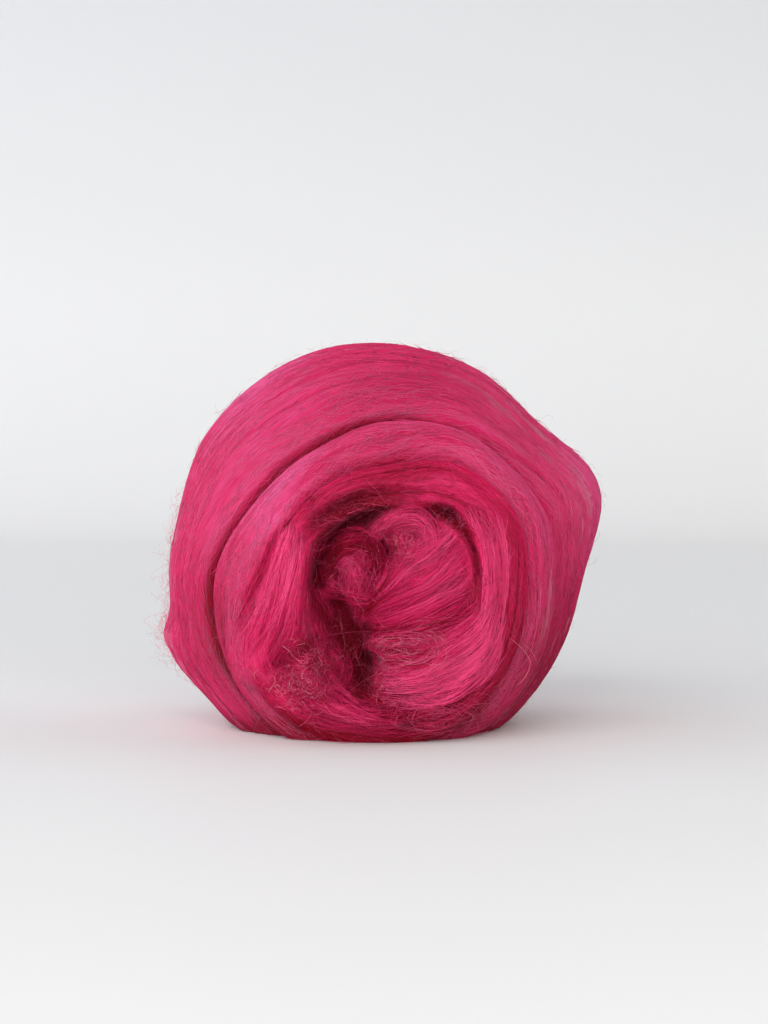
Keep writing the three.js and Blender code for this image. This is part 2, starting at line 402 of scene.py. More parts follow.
@dataclass
class WoundForm:
    """The wound shape of the ball, worked out from its rings, turns, folds and bends."""

    rings: tuple[Ring, ...] = RINGS
    turns: tuple[Turn, ...] = TURNS
    bends: tuple[Bend, ...] = BENDS
    steps_round: int = 84
    rows_between: tuple[int, ...] = (10, 8, 4, 5, 6, 9, 8, 5, 4)
    middle: Array = field(init=False)

    def __post_init__(self) -> None:
        """Finds how far the tables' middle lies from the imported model's, by their right and back sides."""
        share = np.arange(self.steps_round) / self.steps_round
        station = self.stations(self.rows_between)
        height = self.turn_height(share, station) + self.patch_height(self.bends, share, station)
        points = self.smooth(share, station) + self.directions(share, station)[0] * height[..., None]
        right, back = points.reshape(-1, 3).max(axis=0)[:2] - np.array(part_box(NODE)[1])[:2] / MM
        self.middle = np.array([right, back, 0])

    @staticmethod
    def stations(rows_between: tuple[int, ...]) -> Array:
        """Stations of rows spread evenly between each ring and the next."""
        parts = [ring + np.arange(rows) / rows for ring, rows in enumerate(rows_between)]
        return np.concatenate([*parts, [LAST_RING]])

    def smooth(self, share: Array, station: Array) -> Array:
        """The ball without turns, on a grid.

        Args:
            share: Shares of the way round, one for each column.
            station: Stations, one for each row.

        Returns:
            Points of shape (rows, columns, 3).
        """
        angle = 2 * math.pi * np.arange(COMPASS_POINTS) / COMPASS_POINTS
        right, up = np.cos(angle), np.sin(angle)
        points = np.array([
            (ring.x + ring.reach * right,
             ring.depth + ring.lean * right + ring.tilt * up,
             ring.z + ring.reach * up)
            for ring in self.rings
        ]).swapaxes(1, 2)
        place = np.mod(share, 1) * COMPASS_POINTS
        first = np.floor(place).astype(int)
        index = (first[None] + np.arange(-1, 3)[:, None]) % COMPASS_POINTS
        around = np.einsum("pc,rpcd->rcd", catmull_weights(place - first), points[:, index])
        return curve_through(around, station)

    def directions(self, share: Array, station: Array) -> tuple[Array, Array]:
        """The ways out of the smooth ball and away from the eye, on a grid.

        Args:
            share: Shares of the way round.
            station: Stations.

        Returns:
            Unit vectors outward and unit vectors across the turns.
        """
        along = self.smooth(share + PROBE, station) - self.smooth(share - PROBE, station)
        inner, outer = np.maximum(station - PROBE, 0), np.minimum(station + PROBE, LAST_RING)
        across = self.smooth(share, outer) - self.smooth(share, inner)
        return unit(np.cross(across, along)), unit(across)

    def turn_height(self, share: Array, station: Array, worn: bool = False) -> Array:
        """Height of the turns of sliver on a grid.

        Args:
            share: Shares of the way round.
            station: Stations.
            worn: Whether an edge is soft where its turn runs into the next one.

        Returns:
            Heights of shape (rows, columns).
        """
        height = np.zeros((len(station), len(share)))
        for turn in self.turns:
            rows = (station >= turn.inner) & (station < turn.outer)
            way = (station[rows] - turn.inner) / (turn.outer - turn.inner)
            rising = way < turn.crest
            shape = np.sin(math.pi / 2 * np.where(rising, way / turn.crest, (1 - way) / (1 - turn.crest)))
            crisp = np.where(rising, np.sqrt(shape), shape)[:, None]
            soft = np.where(rising, soft_ramp(way, 0, turn.crest), shape)[:, None]
            keep = read_round(turn.crisp, share)[None] if worn else 1.0
            height[rows] = blend(soft, crisp, keep) * read_round(turn.swell, share)[None]
        return height

    @staticmethod
    def patch_height(bends: tuple[Bend, ...], share: Array, station: Array) -> Array:
        """Height of soft patches on a grid.

        Args:
            bends: The patches.
            share: Shares of the way round.
            station: Stations.

        Returns:
            Heights of shape (rows, columns).
        """
        height = np.zeros((len(station), len(share)))
        for bend in bends:
            turned = np.mod(share * FULL_TURN - bend.angle + HALF_TURN, FULL_TURN) - HALF_TURN
            away = np.hypot(turned[None] / bend.spread, (station[:, None] - bend.ring) / bend.ring_spread)
            height += bend.height * np.exp(-away * away)
        return height

    @staticmethod
    def fold_rise(folds: tuple[Fold, ...], x: Array, z: Array) -> Array:
        """How high folds are at places of the front, run softly into one another.

        Args:
            folds: The folds.
            x: Places in X.
            z: Places in Z.

        Returns:
            Heights along Y.
        """
        total = np.zeros(x.shape)
        way = np.linspace(0, 1, FOLD_SAMPLES + 1)
        for fold in folds:
            bent = np.stack([(1 - way) ** 2, 2 * way * (1 - way), way ** 2], axis=1)
            line = bent @ np.array([fold.start, fold.over, fold.end], float)
            away = np.hypot(x[..., None] - line[:, 0], z[..., None] - line[:, 1])
            nearest = way[away.argmin(axis=-1)]
            edge = np.maximum(1 - (away.min(axis=-1) / np.interp(nearest, (0, 1), fold.half)) ** 2, 0)
            rise = np.interp(nearest, (0, 0.5, 1), fold.rise)
            total += (rise * edge ** FOLD_SOFTNESS) ** FOLD_MERGE
        return total ** (1 / FOLD_MERGE)


class TintSource(Enum):
    """Where a finish takes its tint from."""

    STREAKS = "combed streaks over the surface"
    STRAND = "one tint for each strand"


@dataclass
class Wiring:
    """A node tree and the short calls that fill it."""

    tree: bpy.types.NodeTree
    colour_mix_inputs: tuple[int, int, int] = (0, 6, 7)
    colour_mix_output: int = 2

    def node(self, kind: str, **settings: object) -> bpy.types.Node:
        """Adds a node.

        Args:
            kind: Type of the node.
            **settings: Its properties, by name.

        Returns:
            The node.
        """
        node = self.tree.nodes.new(kind)
        for name, value in settings.items():
            setattr(node, name, value)
        return node

    def link(self, source: Socket, target: Socket) -> None:
        """Joins an output to an input."""
        self.tree.links.new(source, target)

    def math(self, operation: str, first: Socket, second: Socket | float) -> Socket:
        """Adds a Math node.

        Args:
            operation: The node's operation.
            first: Output that feeds its first input.
            second: Output or number for its second input.

        Returns:
            The node's output.
        """
        node = self.node("ShaderNodeMath", operation=operation)
        self.link(first, node.inputs[0])
        if isinstance(second, Socket):
            self.link(second, node.inputs[1])
        else:
            node.inputs[1].default_value = second
        return node.outputs[0]

    def ramp(self, value: Socket, source: Span, target: Span) -> Socket:
        """Adds a clamped Map Range node.

        Args:
            value: Output to map.
            source: Range that is read.
            target: Range that it becomes.

        Returns:
            The node's output.
        """
        node = self.node("ShaderNodeMapRange")
        self.link(value, node.inputs["Value"])
        for name, number in zip(("From Min", "From Max", "To Min", "To Max"), (*source, *target)):
            node.inputs[name].default_value = number
        return node.outputs["Result"]

    def mix(self, factor: Socket, first: Socket, second: Socket) -> Socket:
        """Adds a colour Mix node.

        Args:
            factor: Share of the second colour.
            first: First colour.
            second: Second colour.

        Returns:
            The node's output.
        """
        node = self.node("ShaderNodeMix", data_type="RGBA")
        for source, index in zip((factor, first, second), self.colour_mix_inputs):
            self.link(source, node.inputs[index])
        return node.outputs[self.colour_mix_output]

    def noise(self, vector: Socket, scale: float, detail: float, roughness: float) -> Socket:
        """Adds a Noise Texture.

        Args:
            vector: Output that places it.
            scale: Scale of the noise.
            detail: Its detail.
            roughness: Its roughness.

        Returns:
            The node's output.
        """
        node = self.node("ShaderNodeTexNoise")
        self.link(vector, node.inputs["Vector"])
        for name, number in (("Scale", scale), ("Detail", detail), ("Roughness", roughness)):
            node.inputs[name].default_value = number
        return node.outputs["Fac"]


@dataclass
class ShaderGroups:
    """The shader effects that the finishes share. A noise is its scale, detail and roughness."""

    fine_noise: Triple = (1.0, 3, 0.6)
    broad_noise: Triple = (0.16, 2, 0.5)
    patch_noise: Triple = (40, 2, 0.5)
    fine_share: float = 0.55
    streak_range: Span = (0.36, 0.66)
    patch_range: Span = (0.3, 0.7)
    patch_tint: Span = (-0.05, 0.05)
    streaks: bpy.types.NodeTree = field(init=False)
    dye: bpy.types.NodeTree = field(init=False)

    def __post_init__(self) -> None:
        """Builds both groups once."""
        self.streaks = self.combed_streaks()
        self.dye = self.viscose_dye()

    @staticmethod
    def group(name: str, inputs: dict[str, str], outputs: dict[str, str]) -> tuple[Wiring, dict, dict]:
        """Starts a node group with named sockets.

        Args:
            name: Name of the group.
            inputs: Socket types of the inputs, by name.
            outputs: Socket types of the outputs, by name.

        Returns:
            The wiring, the input sockets by name and the output sockets by name.
        """
        tree = bpy.data.node_groups.new(name, "ShaderNodeTree")
        for way, sockets in (("INPUT", inputs), ("OUTPUT", outputs)):
            for label, kind in sockets.items():
                tree.interface.new_socket(name=label, in_out=way, socket_type=kind)
        wiring = Wiring(tree)
        entry = wiring.node("NodeGroupInput").outputs
        leave = wiring.node("NodeGroupOutput").inputs
        return wiring, {label: entry[label] for label in inputs}, {label: leave[label] for label in outputs}

    def combed_streaks(self) -> bpy.types.NodeTree:
        """Fine streaks along the fibres, a tone and a height, from the flow over a surface.

        Returns:
            The group.
        """
        wiring, given, result = self.group(
            "combed_streaks",
            {"Flow": "NodeSocketVector"},
            {"Streak": "NodeSocketFloat", "Height": "NodeSocketFloat"},
        )
        fine = wiring.noise(given["Flow"], *self.fine_noise)
        broad = wiring.noise(given["Flow"], *self.broad_noise)
        fine_part = wiring.math("MULTIPLY", fine, self.fine_share)
        both = wiring.math("ADD", fine_part, wiring.math("MULTIPLY", broad, 1 - self.fine_share))
        wiring.link(wiring.ramp(both, self.streak_range, (0, 1)), result["Streak"])
        wiring.link(fine, result["Height"])
        return wiring.tree

    def viscose_dye(self) -> bpy.types.NodeTree:
        """Dyed viscose: the tint picks a colour between deep and pale, and slow patches vary it.

        Returns:
            The group.
        """
        colour, number = "NodeSocketColor", "NodeSocketFloat"
        wiring, given, result = self.group(
            "viscose_dye",
            {"Tint": number, "Deep": colour, "Mid": colour, "Pale": colour,
             "Rough Deep": number, "Rough Pale": number},
            {"Color": colour, "Roughness": number},
        )
        patch = wiring.noise(wiring.node("ShaderNodeTexCoord").outputs["Object"], *self.patch_noise)
        tint = wiring.math("ADD", given["Tint"], wiring.ramp(patch, self.patch_range, self.patch_tint))
        # Low tints, which carry painted shade as well as darker dye, pick the deep colour; high ones carry
        # painted sheen too
        low = wiring.mix(wiring.ramp(tint, (0, MID_TINT), (0, 1)), given["Deep"], given["Mid"])
        paler = wiring.ramp(tint, (MID_TINT, 1), (0, 1))
        wiring.link(wiring.mix(paler, low, given["Pale"]), result["Color"])
        rough = wiring.node("ShaderNodeMix", data_type="FLOAT")
        for source, target in zip((tint, given["Rough Deep"], given["Rough Pale"]), rough.inputs):
            wiring.link(source, target)
        wiring.link(rough.outputs["Result"], result["Roughness"])
        return wiring.tree


@dataclass(frozen=True)
class ViscoseFinish:
    """A finish of dyed viscose fibre, with its colours and how it takes the light."""

    name: str
    tint_source: TintSource
    deep: Colour
    mid: Colour
    pale: Colour
    sheen: float
    sheen_tint: Colour
    rough: Span
    specular: float
    specular_tint: Colour = (1.0, 0.6, 0.95)
    sheen_rough: float = 0.4
    streak_share: float = 0.38
    bump: float = 0.4
    bump_height: float = 0.0002

    def material(self, groups: ShaderGroups) -> bpy.types.Material:
        """Builds the finish as a material.

        Args:
            groups: The shared shader groups.

        Returns:
            The material, with its constants on the shader's own sockets.
        """
        material = bpy.data.materials.new(self.name)
        material.use_nodes = True
        wiring = Wiring(material.node_tree)
        shader = material.node_tree.nodes["Principled BSDF"]
        shader.inputs["Sheen Weight"].default_value = self.sheen
        shader.inputs["Sheen Roughness"].default_value = self.sheen_rough
        shader.inputs["Sheen Tint"].default_value = (*self.sheen_tint, 1)
        shader.inputs["Specular IOR Level"].default_value = self.specular
        shader.inputs["Specular Tint"].default_value = (*self.specular_tint, 1)
        tint = wiring.node("ShaderNodeAttribute", attribute_name="tint").outputs["Fac"]
        if self.tint_source is TintSource.STREAKS:
            tint = self.streaked(wiring, groups, shader, tint)
        dye = wiring.node("ShaderNodeGroup", node_tree=groups.dye)
        wiring.link(tint, dye.inputs["Tint"])
        for label, value in (("Deep", self.deep), ("Mid", self.mid), ("Pale", self.pale)):
            dye.inputs[label].default_value = (*value, 1)
        dye.inputs["Rough Deep"].default_value, dye.inputs["Rough Pale"].default_value = self.rough
        wiring.link(dye.outputs["Color"], shader.inputs["Base Color"])
        wiring.link(dye.outputs["Roughness"], shader.inputs["Roughness"])
        return material

    def streaked(self, wiring: Wiring, groups: ShaderGroups, shader: bpy.types.Node, tint: Socket) -> Socket:
        """Adds combed streaks to a tint and to the surface.

        Args:
            wiring: The material's wiring.
            groups: The shared shader groups.
            shader: The shader whose normal takes the bump.
            tint: The tint before the streaks.

        Returns:
            The tint with its streaks.
        """
        streaks = wiring.node("ShaderNodeGroup", node_tree=groups.streaks)
        flow = wiring.node("ShaderNodeAttribute", attribute_name="flow")
        wiring.link(flow.outputs["Vector"], streaks.inputs["Flow"])
        bump = wiring.node("ShaderNodeBump")
        bump.inputs["Strength"].default_value = self.bump
        bump.inputs["Distance"].default_value = self.bump_height
        wiring.link(streaks.outputs["Height"], bump.inputs["Height"])
        wiring.link(bump.outputs["Normal"], shader.inputs["Normal"])
        centred = wiring.math("SUBTRACT", streaks.outputs["Streak"], MID_TINT)
        return wiring.math("ADD", tint, wiring.math("MULTIPLY", centred, self.streak_share))


BODY_FINISH = ViscoseFinish(
    "combed_viscose", TintSource.STREAKS, (0.21, 0.001, 0.008), (0.56, 0.016, 0.094), (0.7, 0.07, 0.22),
    sheen=0.1, sheen_tint=(1.0, 0.55, 0.85), rough=(0.8, 0.7), specular=0.16)
STRAND_FINISH = ViscoseFinish(
    "viscose_fibres", TintSource.STRAND, (0.24, 0.001, 0.008), (0.74, 0.018, 0.115), (0.95, 0.084, 0.255),
    sheen=0.04, sheen_tint=(1.0, 0.5, 0.8), rough=(0.65, 0.55), specular=0.11)
# The outer fibres' colours are paler and bluer than the inner ones: partly painted sheen of the outer wrap,
# besides the shader's own sheen
OUTER_FINISH = ViscoseFinish(
    "silky_fibres", TintSource.STRAND, (0.2, 0.001, 0.008), (0.64, 0.027, 0.122), (0.76, 0.115, 0.3),
    sheen=0.36, sheen_tint=(1.0, 0.62, 0.95), rough=(0.65, 0.55), specular=0.2)
STRAY_FINISH = ViscoseFinish(
    "stray_fibres", TintSource.STRAND, (0.3, 0.002, 0.02), (0.8, 0.075, 0.2), (0.9, 0.36, 0.42),
    sheen=0.1, sheen_tint=(1.0, 0.65, 0.85), rough=(0.55, 0.5), specular=0.25)
FINISHES = (BODY_FINISH, STRAND_FINISH, OUTER_FINISH, STRAY_FINISH)


@dataclass
class Skin:
    """One mesh as arrays: points in millimetres, triangles, bake map and what varies over it."""

    points: Array
    faces: Array
    bake_map: Array
    values: dict[str, Array]

    def piece(self, name: str, material: bpy.types.Material, middle: Array) -> bpy.types.Object:
        """Makes the mesh object, in the frame, riding on the ball.

        Args:
            name: Name of the piece.
            material: Its finish.
            middle: How far the tables' middle lies from the frame's, in millimetres.

        Returns:
            The piece.
        """
        mesh = bpy.data.meshes.new(name)
        mesh.vertices.add(len(self.points))
        mesh.vertices.foreach_set("co", ((self.points - middle) * MM).astype(np.float32).ravel())
        mesh.loops.add(self.faces.size)
        mesh.loops.foreach_set("vertex_index", self.faces.astype(np.int32).ravel())
        mesh.polygons.add(len(self.faces))
        mesh.polygons.foreach_set("loop_start", np.arange(0, self.faces.size, 3, dtype=np.int32))
        mesh.update(calc_edges=True)
        mesh.uv_layers.new(name=BAKE_MAP).data.foreach_set("uv", self.bake_map.astype(np.float32).ravel())
        for label, values in self.values.items():
            kind, key = ("FLOAT_VECTOR", "vector") if values.ndim == 2 else ("FLOAT", "value")
            attribute = mesh.attributes.new(label, kind, "POINT")
            attribute.data.foreach_set(key, values.astype(np.float32).ravel())
        mesh.shade_smooth()
        mesh.materials.append(material)
        piece = bpy.data.objects.new(name, mesh)
        bpy.context.scene.collection.objects.link(piece)
        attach(piece, BODY)
        return piece


@dataclass
class WoundBody:
    """The body of the ball: the wound turns with their grooves, layers and combed ridges.

    A ridge is its cells round the ball, its width and its height. A groove, a line, a crease and the foot
    lower the tint by painted shade, and the outer turns raise it by a painted sheen.
    """

    form: WoundForm
    columns: int = 150
    rows_between: tuple[int, ...] = (18, 34, 20, 28, 38, 62, 44, 28, 22)
    pole_fade: float = 0.8
    uneven: float = 0.28
    uneven_key: int = 8
    waver_cells: int = 17
    edge_waver: float = 0.9
    groove_half: float = 1.2
    groove_shade_half: Span = (1.7, 1.9)
    groove_shade: float = 0.7
    ply_line: float = 0.45
    ply_rise: float = 1.6
    ply_dip: float = 0.6
    ply_taper: float = 0.7
    ply_shade: float = 0.32
    ridges: tuple[tuple[int, float, float], ...] = ((7, 6.5, 0.3), (12, 2.8, 0.17), (20, 1.5, 0.09))
    ridge_tone: float = 0.1
    ridge_drift: float = 1.6
    drift_cells: int = 5
    drift_cell: float = 14.0
    drift_spare: float = 2.0
    ridge_spare: float = 12.0
    eye_front: float = 47.5
    eye_depth: float = 18.0
    least_room: float = 0.12
    crease_shade: float = 0.09
    # The outer turns' tint is raised paler: painted sheen
    painted_sheen: float = 0.1
    painted_sheen_from: float = 3.6
    painted_sheen_over: float = 0.6
    # Painted shade at the foot: darker near the floor, and reaching higher on the right than on the left
    foot_sides: Span = (-30.0, 45.0)
    foot_heights: Span = (8.0, 76.0)
    foot_shade: float = 0.48
    flow_radius: float = 55.0
    flow_cell: float = 5.0
    streak_cell: float = 0.75
    share: Array = field(init=False)
    station: Array = field(init=False)
    across: Array = field(init=False)
    points: Array = field(init=False)
    normals: Array = field(init=False)
    tint: Array = field(init=False)

    def __post_init__(self) -> None:
        """Works out the surface as a grid of points, normals and tints."""
        self.share = np.arange(self.columns) / self.columns
        self.station = self.form.stations(self.rows_between)
        base = self.form.smooth(self.share, self.station)
        steps = np.linalg.norm(np.diff(base, axis=0), axis=-1).mean(axis=1)
        self.across = np.concatenate([[0], np.cumsum(steps)])
        ridge, tone = self.ridge_height(chance())
        groove, pull, shade = self.edges()
        ply, lines = self.plies()
        fade = soft_ramp(np.minimum(self.station, LAST_RING - self.station), 0, self.pole_fade)[:, None]
        height = self.form.turn_height(self.share, self.station, worn=True)
        height = height * (1 + self.uneven * self.waver(self.uneven_key))[None]
        height = height + self.form.patch_height(self.form.bends, self.share, self.station)
        height = height + (ridge + ply) * fade - groove
        outward, away = self.form.directions(self.share, self.station)
        self.points = base + outward * height[..., None] - away * pull[..., None]
        crease = self.fold_front()
        self.points[..., 2] = np.maximum(self.points[..., 2], 0)
        self.normals = self.grid_normals(self.points)
        # Painted shade darkens the tint at the grooves, the crease hollows and the ply lines; the ridges'
        # tone is the fibres' own uneven tone
        self.tint = MID_TINT + self.ridge_tone * tone - self.groove_shade * shade
        self.tint = self.tint - self.crease_shade * crease - self.ply_shade * lines + self.painted_broad_shading()

    def fold_front(self) -> Array:
        """Moves the points of the front onto its folds, rolls and creases.

        Returns:
            Depths of the creases, on the grid.
        """
        front = self.station < WIDEST_RING
        x, z = self.points[front, :, 0], self.points[front, :, 2]
        crease = np.zeros(self.points.shape[:2])
        crease[front] = self.form.fold_rise(CREASES, x, z)
        room = np.clip((self.points[front, :, 1] + self.eye_front) / self.eye_depth, self.least_room, 1)
        self.points[front, :, 1] -= room * self.form.fold_rise(FOLDS, x, z)
        self.points[front, :, 1] += crease[front] - self.form.fold_rise(ROLLS, x, z)
        return crease

    def painted_broad_shading(self) -> Array:
        """Painted light and shade in the tint: a painted sheen on the outer turns, painted shade deep in the
        eye and at the foot, and patches of painted light and shade.

        Returns:
            Shares of tint, on the grid.
        """
        tone = self.painted_sheen * soft_ramp(self.station, self.painted_sheen_from, self.painted_sheen_over)[:, None]
        tone = tone - painted_depth_shade(self.points[..., 1]) * (self.station < LIP_RING)[:, None]
        tone = tone + self.form.patch_height(PAINTED_LIGHT_AND_SHADE, self.share, self.station)
        foot = np.interp(self.points[..., 0], self.foot_sides, self.foot_heights)
        return tone - self.foot_shade * smooth_step(np.clip(1 - self.points[..., 2] / foot, 0, 1))

    def across_at(self, station: float | Array) -> float | Array:
        """Distance across the turns from the eye to a station, in millimetres."""
        return np.interp(station, self.station, self.across)

    def waver(self, key: int) -> Array:
        """Soft unevenness round the ball, between -1 and 1, one value for each column."""
        rng = chance(Stream.WAVER.value, key)
        return lattice_noise(rng, self.share, np.zeros(self.columns), self.waver_cells, 1)

    def ridge_height(self, rng: np.random.Generator) -> tuple[Array, Array]:
        """Ridges where fibres lie together in small locks.

        Args:
            rng: Source of the ridges.

        Returns:
            Heights and broad tones on the grid.
        """
        around, across = np.broadcast_arrays(self.share[None], self.across[:, None])
        rows = int(self.across[-1] / self.drift_cell) + 2
        wander = lattice_noise(rng, around, across / self.drift_cell, self.drift_cells, rows)
        drift = self.ridge_drift * wander + max(SPIRAL) + self.drift_spare - read_round(SPIRAL, around)
        height = np.zeros(across.shape)
        tone = np.zeros(across.shape)
        for cells, width, amount in self.ridges:
            rows = int((self.across[-1] + self.ridge_spare) / width) + 2
            wave = lattice_noise(rng, around, (across + drift) / width, cells, rows)
            height += amount * wave
            tone += wave / len(self.ridges)
        return height, tone

    def edges(self) -> tuple[Array, Array, Array]:
        """Grooves at the inner edges of the turns and how far the edges overhang them.

        Returns:
            Groove depths, pulls towards the eye and shares of painted shade, on the grid.
        """
        groove = np.zeros((len(self.station), self.columns))
        pull, shade = np.zeros_like(groove), np.zeros_like(groove)
        deepest = max(turn.groove for turn in self.form.turns)
        for turn in self.form.turns:
            strength = read_round(turn.crisp, self.share)
            edge = self.across_at(turn.inner) + self.edge_waver * self.waver(turn.inner)
            away = self.across[:, None] - edge[None]
            groove += turn.groove * np.exp(-(away / self.groove_half) ** 2) * strength[None]
            half = np.where(away < 0, *self.groove_shade_half)
            shade += turn.groove / deepest * np.exp(-(away / half) ** 2) * strength[None]
            way = np.clip((self.station - turn.inner) / ((turn.outer - turn.inner) * turn.crest), 0, 1)
            pull += turn.overhang * np.sin(math.pi * np.sqrt(way))[:, None] * strength[None]
        return groove, pull, shade

    def plies(self) -> tuple[Array, Array]:
        """Thin lines where layers end on one another, each with a low rise that fades outward.

        Returns:
            Heights and shares of painted shade, on the grid.
        """
        height = np.zeros((len(self.station), self.columns))
        shade = np.zeros_like(height)
        for ply in PLIES:
            start, end = ply.angles
            way = np.mod(self.share * FULL_TURN - start, FULL_TURN) / (end - start)
            edge = self.across_at(np.interp(way, (0, 1), ply.stations))
            away = self.across[:, None] - edge[None]
            rise = soft_ramp(away, 0, self.ply_rise) * np.exp(-np.maximum(away, 0) / ply.fade)
            line = np.exp(-(away / self.ply_line) ** 2)
            inside = np.sin(math.pi * np.clip(way, 0, 1)) ** self.ply_taper
            taper = np.where(way <= 1, inside, 0)[None]
            height += ply.step * (rise - self.ply_dip * line) * taper
            shade += ply.step * line * taper
        return height, shade

    @staticmethod
    def grid_normals(points: Array) -> Array:
        """Normals of a grid that closes on itself round the ball.

        Args:
            points: The grid's points.

        Returns:
            Outward unit vectors.
        """
        along = np.roll(points, -1, axis=1) - np.roll(points, 1, axis=1)
        across = np.gradient(points, axis=0)
        normals = np.cross(across, along)
        normals[0] = normals[1].mean(axis=0)
        normals[-1] = normals[-2].mean(axis=0)
        return unit(normals)

    def at(self, share: Array, across: Array) -> tuple[Array, Array, Array]:
        """Reads the surface at places between its grid points.

        Args:
            share: Shares of the way round.
            across: Distances across the turns, in millimetres.

        Returns:
            Points, normals and tints there.
        """
        row = np.interp(across, self.across, np.arange(len(self.across)))
        line = np.minimum(np.floor(row).astype(int), len(self.across) - 2)
        place = np.mod(share, 1) * self.columns
        near = np.floor(place).astype(int) % self.columns
        far = (near + 1) % self.columns
        up, side = (row - line)[..., None], (place - np.floor(place))[..., None]
        grid = np.concatenate([self.points, self.normals, self.tint[..., None]], axis=-1)
        low = blend(grid[line, near], grid[line, far], side)
        high = blend(grid[line + 1, near], grid[line + 1, far], side)
        found = blend(low, high, up)
        return found[..., :3], unit(found[..., 3:6]), found[..., 6]

    def build(self, material: bpy.types.Material) -> bpy.types.Object:
        """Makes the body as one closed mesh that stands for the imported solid.

        Args:
            material: The body's finish.

        Returns:
            The body.
        """
        angle = 2 * math.pi * self.share
        turn_cells = self.flow_radius / self.flow_cell
        flow = np.stack(np.broadcast_arrays(
            turn_cells * np.cos(angle)[None],
            turn_cells * np.sin(angle)[None],
            self.across[:, None] / self.streak_cell,
        ), axis=-1)
        points, flow, tint = (
            np.concatenate([values[1:-1].reshape(-1, values.shape[-1]), values[[0, -1], 0]])
            for values in (self.points, flow, self.tint[..., None])
        )
        skin = Skin(points, *self.closed_mesh(), {"flow": flow, "tint": tint[:, 0]})
        body = skin.piece("wound_body", material, self.form.middle)
        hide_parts(NODE)
        return body

    def closed_mesh(self) -> tuple[Array, Array]:
        """Joins the grid's points, row by row without the end rows, and a pole at each end after them.

        Returns:
            Triangles, and their bake map of shape (triangles, 3, 2).
        """
        rows, columns = len(self.station), self.columns
        ring = np.arange(columns)
        turned = (ring + 1) % columns
        line, step = (values.ravel() for values in np.meshgrid(np.arange(rows - 3), ring, indexing="ij"))
        near, far = line * columns, (line + 1) * columns
        after = turned[step]
        last_line, pole = (rows - 3) * columns, (rows - 2) * columns
        faces = np.concatenate([
            np.stack([near + step, far + after, far + step], axis=1),
            np.stack([near + step, near + after, far + after], axis=1),
            np.stack([np.full(columns, pole), turned, ring], axis=1),
            np.stack([np.full(columns, pole + 1), last_line + ring, last_line + turned], axis=1),
        ])
        left, low = step / columns, (line + 1) / (rows - 1)
        wide, tall = 1 / columns, 1 / (rows - 1)
        corner, aside = np.stack([left, low], axis=1), np.stack([left + wide, low], axis=1)
        above, beyond = np.stack([left, low + tall], axis=1), np.stack([left + wide, low + tall], axis=1)
        bake_map = np.concatenate([
            np.stack([corner, beyond, above], axis=1),
            np.stack([corner, aside, beyond], axis=1),
            self.pole_map(ring / columns, wide, 0, tall),
            self.pole_map(ring / columns, wide, 1, 1 - tall, flipped=True),
        ])
        return faces, bake_map

    @staticmethod
    def pole_map(left: Array, wide: float, pole: float, rim: float, flipped: bool = False) -> Array:
        """Bake map of the triangles round a pole.

        Args:
            left: Left edge of each triangle.
            wide: Width of a triangle.
            pole: Height of the pole in the map.
            rim: Height of the triangles' far side.
            flipped: Whether the far side runs left to right.

        Returns:
            Map places of shape (triangles, 3, 2).
        """
        tip = np.stack([left + wide / 2, np.full_like(left, pole)], axis=1)
        near = np.stack([left, np.full_like(left, rim)], axis=1)
        far = np.stack([left + wide, np.full_like(left, rim)], axis=1)
        return np.stack([tip, near, far] if flipped else [tip, far, near], axis=1)


TUBE_SIDES = 3
CELL_MARGIN = 0.05
CELL_LENGTH = 0.9
CELL_SIDE = 0.3
TIP_BLUNTNESS = 4


